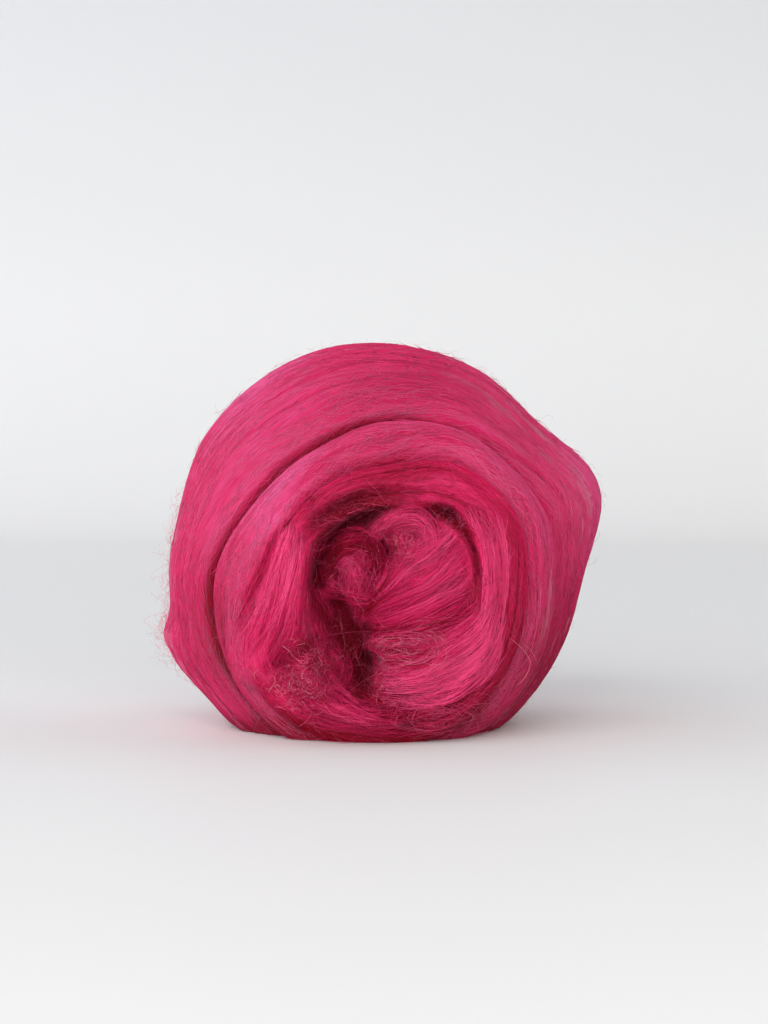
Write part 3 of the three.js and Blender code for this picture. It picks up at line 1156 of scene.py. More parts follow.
@dataclass
class Strands:
    """Fibre strands that share one mesh: middle lines, outward ways, half thicknesses and tints."""

    lines: Array
    upward: Array
    half: Array
    tint: Array

    @classmethod
    def joined(cls, parts: list["Strands"]) -> "Strands":
        """Several sets of strands as one."""
        return cls(*(np.concatenate([getattr(part, entry.name) for part in parts]) for entry in fields(cls)))

    def build(self, name: str, material: bpy.types.Material, middle: Array) -> bpy.types.Object:
        """Makes the strands as closed three-sided tubes with pointed tips.

        Args:
            name: Name of the piece.
            material: Its finish.
            middle: How far the tables' middle lies from the frame's, in millimetres.

        Returns:
            The piece.
        """
        count, steps = self.lines.shape[:2]
        along = unit(np.gradient(self.lines, axis=1))
        side = unit(np.cross(along, self.upward))
        up = np.cross(side, along)
        way = np.linspace(-1, 1, steps)[None, 1:-1, None, None]
        thick = self.half[:, None, None, None] * np.sqrt(1 - way ** TIP_BLUNTNESS)
        angle = (2 * math.pi * np.arange(TUBE_SIDES) / TUBE_SIDES)[None, None, :, None]
        offset = np.cos(angle) * side[:, 1:-1, None] + np.sin(angle) * up[:, 1:-1, None]
        rings = self.lines[:, 1:-1, None] + thick * offset
        points = np.concatenate([self.lines[:, :1], rings.reshape(count, -1, 3), self.lines[:, -1:]], axis=1)
        points[..., 2] = np.maximum(points[..., 2], FLOOR_GAP)
        pattern, cell = self.one_strand(steps)
        faces = (pattern[None] + points.shape[1] * np.arange(count)[:, None, None]).reshape(-1, 3)
        cells = math.ceil(math.sqrt(count))
        corner = np.stack([np.arange(count) % cells, np.arange(count) // cells], axis=1)
        bake_map = ((corner[:, None, None] + cell[None]) / cells).reshape(-1, 3, 2)
        inner = np.repeat(self.tint[:, 1:-1], TUBE_SIDES, axis=1)
        tint = np.concatenate([self.tint[:, :1], inner, self.tint[:, -1:]], axis=1)
        skin = Skin(points.reshape(-1, 3), faces, bake_map, {"tint": np.clip(tint, 0, 1).ravel()})
        return skin.piece(name, material, middle)

    @staticmethod
    def one_strand(steps: int) -> tuple[Array, Array]:
        """Triangles and bake map of one strand.

        Args:
            steps: Points along the strand.

        Returns:
            Triangles, and their map places within a cell of side 1.
        """
        last = TUBE_SIDES * (steps - 2) + 1
        faces, places = [], []

        def place(step: int, edge: int) -> Spot:
            """Map place of a point along the strand on an edge between its sides."""
            return CELL_MARGIN + CELL_LENGTH * step / (steps - 1), CELL_MARGIN + CELL_SIDE * edge

        for edge in range(TUBE_SIDES):
            near, far = edge, (edge + 1) % TUBE_SIDES
            faces.append((0, 1 + near, 1 + far))
            places.append((place(0, edge), place(1, edge), place(1, edge + 1)))
            for step in range(1, steps - 2):
                base, after = 1 + TUBE_SIDES * (step - 1), 1 + TUBE_SIDES * step
                faces.append((base + near, after + near, after + far))
                places.append((place(step, edge), place(step + 1, edge), place(step + 1, edge + 1)))
                faces.append((base + near, after + far, base + far))
                places.append((place(step, edge), place(step + 1, edge + 1), place(step, edge + 1)))
            faces.append((last, last - TUBE_SIDES + far, last - TUBE_SIDES + near))
            places.append((place(steps - 1, edge), place(steps - 2, edge + 1), place(steps - 2, edge)))
        return np.array(faces), np.array(places)


@dataclass
class CombedZone:
    """A zone of the ball between two stations, covered by combed fibres laid in small locks.

    seed starts its stream of chance, strands is the fibres in a lock, half the range of their half thickness
    and follow the share of the body's own tint that they take. most_turned is a share of the way round.
    """

    name: str
    seed: int
    stations: Span
    locks: int
    strands: int
    length: Span
    half: Span
    tint: float = 0.5
    tint_spread: float = 0.045
    finish: ViscoseFinish = OUTER_FINISH
    steps: int = 7
    jitter: float = 0.3
    scatter: float = 0.22
    spread: float = 1.1
    drift: float = 2.0
    stray: float = 1.6
    wave: float = 0.22
    wave_rate: float = 7.0
    frizz: float = 0.2
    frizz_rate: float = 13.0
    lift: Span = (-0.02, 0.12)
    end_lift: float = 0.1
    loose_share: float = 0.07
    loose: float = 0.5
    loose_sharpness: int = 3
    follow: float = 0.9
    most_turned: float = 0.42
    least_round: float = 8.0

    def strands_on(self, body: WoundBody) -> Strands:
        """Lays the zone's fibres on the body.

        Args:
            body: The wound body.

        Returns:
            The fibres.
        """
        rng = chance(self.seed)
        shape = (self.locks, self.strands)
        share, across = self.lock_places(body, rng)
        lock_drift = rng.normal(0, self.drift, self.locks)[:, None]
        lock_tint = rng.normal(self.tint, self.tint_spread, self.locks)[:, None]
        length = rng.uniform(*self.length, shape) / self.size_round(body, across)[:, None]
        turned = np.minimum(length, self.most_turned)
        start = share[:, None] + rng.normal(0, self.scatter, shape) * turned
        line = across[:, None] + rng.normal(0, self.spread, shape)
        drift = lock_drift + rng.normal(0, self.stray, shape)
        way = np.linspace(-0.5, 0.5, self.steps)
        shares = start[..., None] + turned[..., None] * way
        spiral = read_round(SPIRAL, shares) - read_round(SPIRAL, start)[..., None]
        acrosses = line[..., None] + drift[..., None] * way + spiral + self.waves(rng, way)
        points, normals, tint = body.at(shares, self.kept_inside(body, acrosses, rng))
        lift = rng.uniform(*self.lift, shape)[..., None]
        is_loose = rng.random(shape) < self.loose_share
        loose = np.where(is_loose, rng.exponential(self.loose, shape), self.end_lift)[..., None]
        one_end = either_way(rng, shape)[..., None]
        raised = lift + loose * np.clip(2 * one_end * way, 0, 1) ** self.loose_sharpness
        own_tint = lock_tint + rng.normal(0, self.tint_spread, shape)
        # Strands take the body's tint, its painted shade and sheen included
        tints = own_tint[..., None] + self.follow * (tint - MID_TINT)
        half = rng.uniform(*self.half, shape)
        found = (points + normals * raised[..., None], normals, half, tints)
        return Strands(*(values.reshape(-1, *values.shape[2:]) for values in found))

    def waves(self, rng: np.random.Generator, way: Array) -> Array:
        """Broad waves and fine frizz across the zone's fibres.

        Args:
            rng: Source of the waves.
            way: Shares of the way along a fibre.

        Returns:
            Distances across the turns, of shape (locks, strands, steps).
        """
        shape = (self.locks, self.strands)
        wave, frizz = rng.normal(0, self.wave, shape), rng.normal(0, self.frizz, shape)
        phase = rng.uniform(0, 2 * math.pi, shape)[..., None]
        broad = wave[..., None] * np.sin(self.wave_rate * way + phase)
        return broad + frizz[..., None] * np.sin(self.frizz_rate * way + 2 * phase)

    def kept_inside(self, body: WoundBody, acrosses: Array, rng: np.random.Generator) -> Array:
        """Moves fibres that stray out of the zone back inside its edges.

        Args:
            body: The wound body.
            acrosses: Distances across the turns along each fibre.
            rng: Source of how far inside they come to lie.

        Returns:
            Distances that lie in the zone.
        """
        first, last = (body.across_at(station) for station in self.stations)
        under = np.maximum(first - acrosses.min(axis=-1), 0)
        over = np.maximum(acrosses.max(axis=-1) - last, 0)
        moved = acrosses + ((under - over) * rng.uniform(1, 2, under.shape))[..., None]
        return np.clip(moved, first, last)

    def lock_places(self, body: WoundBody, rng: np.random.Generator) -> tuple[Array, Array]:
        """Picks the middles of the locks evenly over the zone's area.

        Args:
            body: The wound body.
            rng: Source of the places.

        Returns:
            Shares of the way round and distances across the turns.
        """
        rows = np.flatnonzero((body.station >= self.stations[0]) & (body.station <= self.stations[1]))
        around = np.linalg.norm(np.roll(body.points, -1, axis=1) - body.points, axis=-1)
        area = (around * np.linalg.norm(np.gradient(body.points, axis=0), axis=-1))[rows]
        total = np.cumsum(area.sum(axis=1))
        order = np.arange(self.locks) + rng.uniform(-self.jitter, self.jitter, self.locks)
        part = np.clip((order + 0.5) / self.locks, 0, 1) * total[-1]
        lines = np.cumsum(area, axis=1)[np.minimum(np.searchsorted(total, part), len(rows) - 1)]
        turned = np.mod(order * GOLDEN_SHARE, 1)
        share = [np.interp(turn * line[-1], line, body.share) for turn, line in zip(turned, lines)]
        return np.array(share), np.interp(part, total, body.across[rows])

    def size_round(self, body: WoundBody, across: Array) -> Array:
        """Length of the way round the ball at distances across the turns."""
        steps = np.linalg.norm(np.roll(body.points, -1, axis=1) - body.points, axis=-1).sum(axis=1)
        return np.maximum(np.interp(across, body.across, steps), self.least_round)


ZONES = (
    CombedZone("fibres_outer", 2, (5.02, 6.3), 480, 9, (9, 28), (0.06, 0.135)),
    CombedZone("fibres_flank", 3, (6.1, 7.2), 270, 9, (12, 32), (0.08, 0.16)),
    CombedZone("fibres_back", 4, (7.0, 8.95), 220, 9, (11, 30), (0.08, 0.16)),
    CombedZone("fibres_middle", 7, (3.8, 5.0), 240, 9, (8, 24), (0.05, 0.125), 0.62, 0.05, spread=0.9),
    CombedZone("fibres_front", 5, (2.1, 4.0), 260, 9, (8, 24), (0.05, 0.125), 0.45, 0.07, STRAND_FINISH,
               spread=0.9),
    CombedZone("fibres_wall", 6, (1.4, 2.3), 60, 8, (8, 20), (0.05, 0.11), 0.46, 0.1, STRAND_FINISH,
               spread=0.9, drift=3.0, frizz=0.25),
)


@dataclass
class FrontRelief:
    """How far forward the body reaches, on a grid seen from the front."""

    body: WoundBody
    half: float = 64.0
    cell: float = 0.5
    samples: tuple[int, int] = (900, 600)
    fill_rounds: int = 3
    bridge_rounds: int = 2
    bridge_share: float = 0.25
    inside_edge: float = 1.001
    depth: Array = field(init=False)

    def __post_init__(self) -> None:
        """Drops dense points of the body onto the grid, keeps the foremost and fills the gaps."""
        size = int(2 * self.half / self.cell) + 1
        self.depth = np.full((size, size), np.inf)
        shares, rows = self.samples
        across = np.linspace(0, self.body.across_at(WIDEST_RING), rows)
        share, across = np.meshgrid(np.arange(shares) / shares, across, indexing="ij")
        points = self.body.at(share, across)[0]
        places = np.rint((points[..., [0, 2]] - (-self.half, 0)) / self.cell).astype(int)
        places = np.clip(places, 0, size - 1)
        np.minimum.at(self.depth, (places[..., 0], places[..., 1]), points[..., 1])
        for _ in range(self.fill_rounds):
            around = np.stack([np.roll(self.depth, step, axis) for step in (-1, 1) for axis in (0, 1)])
            self.depth = np.where(np.isinf(self.depth), around.min(axis=0), self.depth)
        self.depth[np.isinf(self.depth)] = 0

    def at(self, x: Array, z: Array) -> Array:
        """Reads how far forward the front reaches.

        Args:
            x: Places in X.
            z: Places in Z.

        Returns:
            Places along Y.
        """
        last = len(self.depth) - self.inside_edge
        right, up = np.clip((x + self.half) / self.cell, 0, last), np.clip(z / self.cell, 0, last)
        step, line = right.astype(int), up.astype(int)
        low = blend(self.depth[step, line], self.depth[step + 1, line], right - step)
        high = blend(self.depth[step, line + 1], self.depth[step + 1, line + 1], right - step)
        return blend(low, high, up - line)

    def draped(self, x: Array, z: Array, lift: Array) -> Array:
        """Lines that lie over the front and bridge its narrow gaps.

        Args:
            x: Places in X, a row for each line.
            z: Places in Z.
            lift: How far each place stands off the front.

        Returns:
            Points of the lines.
        """
        depth = self.at(x, z)
        soft = depth
        for _ in range(self.bridge_rounds):
            padded = np.pad(soft, ((0, 0), (1, 1)), mode="edge")
            soft = (1 - 2 * self.bridge_share) * soft + self.bridge_share * (padded[:, :-2] + padded[:, 2:])
        return np.stack([x, np.minimum(depth, soft) - lift, z], axis=-1)


def arc(x: float, z: float, wide: float, tall: float, start: float, end: float) -> tuple[Spot, ...]:
    """A guide line along an ellipse about a place, between two angles."""
    angles = np.radians(np.linspace(start, end, ARC_POINTS))
    return tuple(zip((x + wide * np.cos(angles)).tolist(), (z + tall * np.sin(angles)).tolist()))


@dataclass(frozen=True)
class Mass:
    """A mass of fibres that flow over the front between guide lines of places in X and Z.

    loose is how far fibre ends stand off, depth how thick the mass lies and wild the share of fibres that
    stray. fade and root are how much darker it is at its far end and at its start. length is the shares of
    the way that a fibre spans, sway how far fibres swing aside and streaky how much their tints differ.
    """

    name: str
    guides: tuple[tuple[Spot, ...], ...]
    strands: int
    tint: float
    loose: float = 0.4
    depth: float = 0.35
    wild: float = 0.25
    # fade and root paint shade: darker at the far end and at the start, where a mass runs into shadow
    fade: float = 0.0
    root: float = 0.0
    length: Span = (0.25, 0.65)
    sway: float = 0.04
    streaky: float = 1.0


FAN_FOOT = ((23.8, 46), (20.5, 42.2), (15, 38.4), (8.5, 35), (1.5, 32.4), (-6.5, 31))
EYE_MASSES = (
    Mass("fan", (((19, 57.8), (16, 56.2), (11.5, 52.8), (7, 48.6), (3, 44), (-1.5, 39.5)),
                 ((22.3, 53), (19, 49.6), (13.5, 45), (7.5, 40.4), (1.5, 36.6), (-5.5, 33.5)),
                 FAN_FOOT),
         760, 0.9, 0.4, 0.5, 0.35, fade=0.55, root=0.5, sway=0.07),
    Mass("fan hem", (FAN_FOOT,
                     ((24.2, 39), (21, 36.2), (15.5, 33.4), (9, 30.8), (1.5, 28.8), (-7, 28.5))),
         340, 0.66, 0.5, 0.5, 0.35, fade=0.6, root=0.3, sway=0.1),
    Mass("hood", (arc(-8.6, 46.5, 9, 10, 220, -40), arc(-8.6, 46, 4.5, 4.5, 220, -40)),
         400, 0.12, 0.6, 0.5),
    Mass("curl heart", (((-8.5, 50.5), (-5.5, 48), (-3.5, 44), (-3.5, 38.5)),
                        ((-13.5, 46), (-12, 43), (-10.5, 39.5), (-7.5, 36.5))),
         260, 0.62, 1.3, 0.7, 0.7),
    Mass("curl foot", (((-19, 43), (-13, 40.5), (-8, 39), (-2, 38)),
                       ((-18, 38), (-12.5, 36.5), (-8, 35.5), (-3, 35.5))),
         140, 0.42, 0.8, 0.5),
    # A dark mass that paints the shadow between the curl and the fan
    Mass("fan root", (((3, 47), (0, 42), (-3, 38), (-8, 34.5)),
                      ((5, 43), (1, 38.5), (-3.5, 34.5), (-8.5, 31))),
         150, 0.16, 0.8, 0.4, 0.5),
    Mass("trench", (((-7, 36), (-6, 30), (-3.5, 24), (-1, 16)),
                    ((-14, 35), (-13, 28), (-10, 21), (-6, 14))),
         160, 0.26, 1.0, 0.3),
    Mass("top arch", (((-4, 53.5), (-2.5, 57.8), (3, 61.6), (9.5, 62), (14, 57.6), (14.5, 52)),
                      ((-1, 51), (1, 54.5), (4, 56.8), (8.5, 57), (10.8, 54.5), (11.5, 50))),
         300, 0.72, 0.8, 0.5),
    Mass("arch hollow", (((-1, 58), (0.5, 54), (1.5, 50), (2, 46)),
                         ((10, 58), (10, 55), (9, 52), (8, 49))),
         190, 0.56, 1.2, 0.6, 0.6),
    Mass("nest", (((26, 38), (20.5, 33), (12, 30), (3, 28.5), (-7, 27.5)),
                  ((26, 29), (19, 24), (11.5, 20.5), (3, 19.5), (-6, 22))),
         560, 0.52, 0.8, 0.6, 0.6, fade=0.1, sway=0.08),
    # A thin dark mass that paints the shade of the crease between the fan's hem and the nest
    Mass("nest line", (((24, 37.5), (20.5, 34.5), (14.5, 31.8), (8, 29.4), (1, 27.8), (-6, 27.5)),
                       ((24.5, 35.5), (21, 32.7), (15, 30.2), (8.5, 28), (1, 26.6), (-6, 26.3))),
         130, 0.1, 0.5, 0.7, 0.3),
    Mass("nest gap", (((13, 25), (8.5, 23.2), (4, 22.4), (-0.5, 23)),
                      ((13.5, 22.8), (8.5, 21), (4, 20.4), (-0.5, 21))),
         100, 0.12, 0.6, 0.7, 0.4),
)
ROLL_MASSES = (
    Mass("low fold", (((29, 41), (24, 31), (16, 25.5), (8, 21.5), (-1.5, 19.5)),
                      ((33, 34), (29, 21), (20, 13.5), (10, 10.5), (-1.5, 11.5))),
         800, 1.0, 0.5, 0.35, 0.15, streaky=0.4),
    Mass("right rim", (((22, 63), (26.5, 52), (27, 42), (25.5, 31)),
                       ((29.5, 62.5), (32.2, 52), (32.8, 42), (30.5, 28))),
         380, 0.84, 0.4, 0.3),
    Mass("floor roll", (((-27, 16), (-15, 12.5), (-3, 10), (9, 9)),
                        ((-25, 8), (-14, 4.5), (-2, 3), (10, 3))),
         300, 0.38, 0.8, 0.5, 0.5, fade=0.35),
    Mass("foot roll", (((1, 10), (11, 11), (21, 15.5), (29, 22)),
                       ((2, 3), (12, 3), (22, 6), (31, 14))),
         240, 0.26, 0.9, 0.3, 0.5),
    Mass("left tuft", (((-30, 26), (-24, 22), (-18, 18), (-13, 13)),
                       ((-29, 18), (-24, 13), (-19, 9), (-14, 6))),
         240, 0.3, 1.2, 0.6, 0.6),
    Mass("left lobe", (((-26, 60), (-30, 49), (-35, 38), (-40, 27)),
                       ((-21, 57), (-21.5, 43), (-23.5, 30), (-30, 18))),
         620, 0.74, 0.2, 0.3, 0.08, fade=0.38),
    Mass("left wall", (((-20, 47), (-19.5, 38), (-17, 28), (-12, 17), (-6, 12)),
                       ((-16, 40), (-14.5, 32), (-12, 25), (-8, 18), (-2, 13.5))),
         180, 0.14, 1.0, 0.6, 0.7, length=(0.15, 0.4)),
    Mass("wall lock", (((-20.5, 43), (-18, 38), (-15.5, 34), (-14, 30.5)),
                       ((-17.5, 42), (-15.5, 37.5), (-13.5, 33.5), (-13, 30))),
         80, 0.52, 0.8, 0.8, 0.3, length=(0.4, 0.8)),
    Mass("wall curl", (((-15, 24.5), (-12.5, 21.5), (-11.5, 18.5), (-14, 14)),
                       ((-12.5, 25), (-9.5, 21.5), (-8.5, 17.5), (-12, 12.5))),
         90, 0.54, 0.7, 0.7, 0.3, length=(0.4, 0.8)),
    Mass("floor lock", (((-16, 19.5), (-11.5, 14.5), (-6, 11), (1, 9.5)),
                        ((-18, 14.5), (-13, 9.5), (-7, 6.5), (0, 5.5))),
         150, 0.72, 0.6, 0.6, 0.3, length=(0.4, 0.8), sway=0.1),
)


def between_guides(guides: Array, aside: Array, along: Array) -> Array:
    """Reads places between guide lines.

    Args:
        guides: The guide lines, of shape (lines, points, axes).
        aside: Shares of the way from the first line to the last.
        along: Shares of the way along the lines, of the same shape.

    Returns:
        Places, with the axes last.
    """
    lines = curve_through(np.moveaxis(guides, 0, 1), along.ravel() * (guides.shape[1] - 1))
    place = aside.ravel() * (len(guides) - 1)
    first = np.clip(np.floor(place).astype(int), 0, len(guides) - 2)
    picked = np.arange(len(place))
    spots = blend(lines[picked, first], lines[picked, first + 1], (place - first)[:, None])
    return spots.reshape(*along.shape, guides.shape[2])


def forward(lines: Array) -> Array:
    """The way to the front at every point of some lines."""
    return np.broadcast_to(np.array([0.0, -1.0, 0.0]), lines.shape)


@dataclass
class CombedMasses:
    """Masses of combed fibre over the front. Values named wild are those of fibres that stray."""

    relief: FrontRelief
    masses: tuple[Mass, ...]
    stream: Stream
    steps: int = 9
    half: Span = (0.045, 0.11)
    wild_half: float = 0.6
    start: Span = (-0.04, 1.04)
    middle: Span = (-0.1, 1.1)
    drift: float = 0.1
    wild_drift: float = 0.4
    locks: int = 9
    swing: float = 9.0
    sway_rate: float = 7.0
    frizz: Gamma = (1.5, 0.12)
    frizz_turns: Span = (5.0, 12.0)
    wild_frizz: float = 2.5
    lift_shape: float = 1.2
    sunk_ends: float = 0.3
    sunk_sharpness: int = 6
    end_lift: float = 0.7
    loose_sharpness: int = 4
    lowest: float = 0.3
    streaks: int = 24
    streak_tint: float = 0.19
    tint_spread: float = 0.1
    root_share: float = 0.1

    def strands(self) -> Strands:
        """Lays the fibres of every mass."""
        return Strands.joined([self.mass_strands(mass, index) for index, mass in enumerate(self.masses)])

    def mass_strands(self, mass: Mass, index: int) -> Strands:
        """Lays the fibres of one mass between its guide lines, feathered past its edges.

        Args:
            mass: The mass.
            index: Its place in the list, which seeds it.

        Returns:
            Its fibres.
        """
        rng = chance(self.stream.value, index)
        count = mass.strands
        way = np.linspace(0, 1, self.steps)[None]
        length = column(rng.uniform(*mass.length, count))
        along = column(rng.uniform(*self.start, count)) * (1 - length) + length * way
        wild = column(rng.random(count)) < mass.wild
        drift = column(rng.normal(0, 1, count)) * np.where(wild, self.wild_drift, self.drift)
        middle = rng.uniform(*self.middle, count)
        swings = rng.uniform(0, self.swing, self.locks)
        swing = np.interp(middle, np.linspace(*self.middle, self.locks), swings)
        sway = mass.sway * np.sin(self.sway_rate * along + column(swing))
        aside = column(middle) + drift * (way - 0.5) + sway
        spots = between_guides(np.array(mass.guides, float), aside, along)
        phase = column(rng.uniform(0, 2 * math.pi, count))
        turns = column(rng.uniform(*self.frizz_turns, count))
        frizz = column(rng.gamma(*self.frizz, count)) * np.where(wild, self.wild_frizz, 1)
        frizz = frizz * np.sin(turns * way + phase)
        one_end = np.where(column(rng.random(count)) < 0.5, 1 - way, way)
        lift = column(rng.gamma(self.lift_shape, mass.depth / self.lift_shape, count))
        lift = lift - self.sunk_ends * np.abs(2 * way - 1) ** self.sunk_sharpness
        loose = column(mass.loose * rng.exponential(self.end_lift, count))
        lift = lift + loose * one_end ** self.loose_sharpness
        z = np.maximum(spots[..., 1] + frizz, self.lowest)
        lines = self.relief.draped(spots[..., 0] + frizz, z, lift)
        streaks = rng.normal(0, self.streak_tint, self.streaks)
        streak = np.interp(middle, np.linspace(*self.middle, self.streaks), streaks)
        tint = column(mass.tint + mass.streaky * streak + rng.normal(0, self.tint_spread, count))
        # Painted shade: darker deep in the eye, towards the far end and at the root
        tint = tint - painted_depth_shade(lines[..., 1]) - mass.fade * along ** 2
        tint = tint - mass.root * np.exp(-(along / self.root_share) ** 2)
        half = rng.uniform(*self.half, count) * np.where(wild[:, 0], self.wild_half, 1)
        return Strands(lines, forward(lines), half, tint)


@dataclass(frozen=True)
class Tuft:
    """A tuft of fibre ends that curl round a place on the front.

    reach is its half sizes in X and Z, lean its lean in degrees and arc how far an end curls, in radians.
    """

    name: str
    place: Spot
    reach: Spot
    lean: float
    arc: float
    count: int
    tint: float
    lift: float = 0.5
    scatter: float = 0.25


TUFTS = (
    Tuft("curl heart", (-8, 44.5), (5.5, 5.5), 30, 0.7, 200, 0.36, 1.2, 0.4),
    Tuft("arch hollow", (5, 54), (5, 4), 20, 1.0, 200, 0.55, 1.0, 0.3),
    Tuft("nest", (5.5, 24.8), (9, 4.6), 10, 1.2, 440, 0.56, 1.2),
    Tuft("low fold end", (2, 15.5), (4, 4.5), 0, 0.7, 170, 0.45, 0.9, 0.35),
    Tuft("left tuft", (-22, 17), (6, 5.5), 40, 0.6, 400, 0.55, 1.8, 0.45),
    Tuft("foot fuzz", (14, 7), (11, 5), 0, 1.3, 260, 0.25, 1.1),
    Tuft("trench", (-11, 28), (6, 9), 0, 0.7, 110, 0.4, 0.9),
    # Near-black hairs that paint the shade under the eye's upper rim and in the gap over the curl
    Tuft("upper rim", (-7, 61.5), (13, 4.5), 8, 0.7, 260, 0.05, 1.2),
    Tuft("gap fringe", (-10, 58.5), (10, 3.5), 14, 0.6, 90, 0.08, 2.2, 0.4),
    Tuft("right gap", (17, 59.5), (5, 3), -40, 0.8, 80, 0.3, 1.0),
    Tuft("fan edge", (4, 45), (9, 4), 48, 0.6, 110, 0.18, 0.9),
    Tuft("eye veil", (0, 38), (27, 26), 0, 0.4, 240, 0.25, 1.0),
)


@dataclass(frozen=True)
class LooseHair:
    """One long hair laid over the front. half is its half thickness."""

    name: str
    places: tuple[Spot, ...]
    lift: float
    half: float
    tint: float


LOOSE_HAIRS = (
    LooseHair("pale loop", ((33, 28), (36.5, 25), (39.5, 20.5), (38, 16), (35, 13.5)), 1.0, 0.06, 1.0),
    LooseHair("pale branch", ((37, 26), (40, 23), (42, 18.5)), 0.8, 0.05, 0.9),
    LooseHair("dark loop", ((12, 9.5), (15, 12.5), (19, 12), (20, 8), (17, 5.5)), 0.8, 0.07, 0.1),
    LooseHair("low loop", ((6, 8), (10, 11), (14, 9.5), (13, 5)), 0.7, 0.07, 0.15),
    LooseHair("trench hair", ((-16, 33), (-12, 31), (-11, 26), (-8, 22)), 0.8, 0.06, 0.6),
    LooseHair("long trench hair", ((-12.5, 34), (-11, 28), (-10.5, 23), (-9, 18)), 0.9, 0.05, 0.7),
    LooseHair("low trench hair", ((-8.5, 25), (-7, 20), (-5.5, 16), (-5, 12)), 0.8, 0.06, 0.7),
    LooseHair("crossing hair", ((-20, 27), (-12, 28), (-3, 29), (4, 32)), 0.7, 0.06, 0.5),
)


@dataclass
class LooseEnds:
    """The tufts of fibre ends and the long hairs that lie over the front."""

    relief: FrontRelief
    tufts: tuple[Tuft, ...] = TUFTS
    hairs: tuple[LooseHair, ...] = LOOSE_HAIRS
    steps: int = 9
    half: Span = (0.03, 0.075)
    inner_part: float = 0.02
    arc_span: Span = (0.4, 1.4)
    opening: float = 0.35
    curl: Gamma = (1.5, 0.16)
    curl_rate_aside: float = 7.0
    curl_rate_up: float = 6.0
    lift_shape: float = 1.5
    lift_start: float = 0.08
    lift_length: float = 0.8
    lowest: float = 0.5
    tint_spread: float = 0.15
    deep_share: float = 0.6
    hair_span: Span = (0.05, 0.95)

    def strands(self) -> Strands:
        """Lays the fibre ends of every tuft, and the long hairs."""
        tufts = [self.tuft_strands(tuft, index) for index, tuft in enumerate(self.tufts)]
        return Strands.joined([*tufts, *map(self.hair_strand, self.hairs)])

    def tuft_strands(self, tuft: Tuft, index: int) -> Strands:
        """Curls the fibre ends of one tuft round its place.

        Args:
            tuft: The tuft.
            index: Its place in the list, which seeds it.

        Returns:
            Its fibre ends.
        """
        rng = chance(Stream.TUFTS.value, index)
        count = tuft.count
        way = np.linspace(0, 1, self.steps)[None]
        away = column(np.sqrt(rng.uniform(self.inner_part, 1, count)))
        bow = tuft.arc * column(rng.uniform(*self.arc_span, count) * either_way(rng, count))
        angle = column(rng.uniform(0, 2 * math.pi, count)) + bow * way
        away = away * (1 + column(rng.normal(0, self.opening, count)) * way)
        aside, above = (column(values) for values in rng.normal(0, tuft.scatter, (2, count)))
        right = tuft.reach[0] * (away * np.cos(angle) + aside)
        up = tuft.reach[1] * (away * np.sin(angle) + above)
        lean = math.radians(tuft.lean)
        curl = column(rng.gamma(*self.curl, count))
        phase = column(rng.uniform(0, 2 * math.pi, count))
        x = tuft.place[0] + right * math.cos(lean) - up * math.sin(lean)
        z = tuft.place[1] + right * math.sin(lean) + up * math.cos(lean)
        x = x + curl * np.sin(self.curl_rate_aside * way + phase)
        z = z + curl * np.cos(self.curl_rate_up * way + phase)
        lift = column(rng.gamma(self.lift_shape, tuft.lift / self.lift_shape, count))
        lift = lift * np.sin(math.pi * (self.lift_start + self.lift_length * way))
        lines = self.relief.draped(x, np.maximum(z, self.lowest), lift)
        tint = column(rng.normal(tuft.tint, self.tint_spread, count))
        # Painted shade deep in the eye, at part of its full strength
        tint = tint - self.deep_share * painted_depth_shade(lines[..., 1])
        return Strands(lines, forward(lines), rng.uniform(*self.half, count), tint)

    def hair_strand(self, hair: LooseHair) -> Strands:
        """Lays one long hair.

        Args:
            hair: The hair.

        Returns:
            Its strand.
        """
        along = np.linspace(0, len(hair.places) - 1, self.steps)
        places = curve_through(np.array(hair.places, float), along)
        lift = hair.lift * np.sin(math.pi * np.linspace(*self.hair_span, self.steps))
        lines = self.relief.draped(places[None, :, 0], places[None, :, 1], lift[None])
        return Strands(lines, forward(lines), np.array([hair.half]), np.full(lines.shape[:2], hair.tint))


@dataclass(frozen=True)
class StrayPatch:
    """A patch of loose hairs between two compass angles and two stations.

    stand is how far the hairs stand off, and turned how far they turn from the way round, in radians.
    """

    name: str
    angles: Span
    stations: Span
    count: int
    length: Span
    stand: float
    tint: float
    turned: float = 0.55
    half: Span = (0.014, 0.03)


STRAY_PATCHES = (
    StrayPatch("all over", (0, 360), (2.0, 8.8), 450, (3, 7), 0.3, 0.3),
    StrayPatch("front veil", (0, 360), (2.0, 5.4), 700, (4, 10), 0.25, 0.2, 0.5, (0.02, 0.04)),
    StrayPatch("outer veil", (0, 360), (5.1, 6.2), 400, (4, 9), 0.2, 0.15, 0.45, (0.015, 0.03)),
    StrayPatch("left outline", (165, 215), (5.7, 6.4), 260, (2.5, 6), 1.5, 0.5),
    StrayPatch("left tuft", (196, 209), (5.8, 6.2), 90, (2, 5), 1.8, 0.45),
    StrayPatch("top left haze", (95, 165), (5.6, 6.6), 130, (2, 5), 0.7, 0.45),
    StrayPatch("top right hairs", (5, 75), (5.6, 6.6), 130, (2, 5), 0.8, 0.35),
    StrayPatch("eye fuzz", (0, 360), (0.7, 2.6), 150, (4, 9), 1.2, 0.3),
    StrayPatch("foot fuzz", (235, 320), (2.6, 5.0), 130, (3, 8), 1.0, 0.4),
    StrayPatch("back haze", (0, 360), (6.6, 8.9), 170, (3, 8), 0.9, 0.45),
)


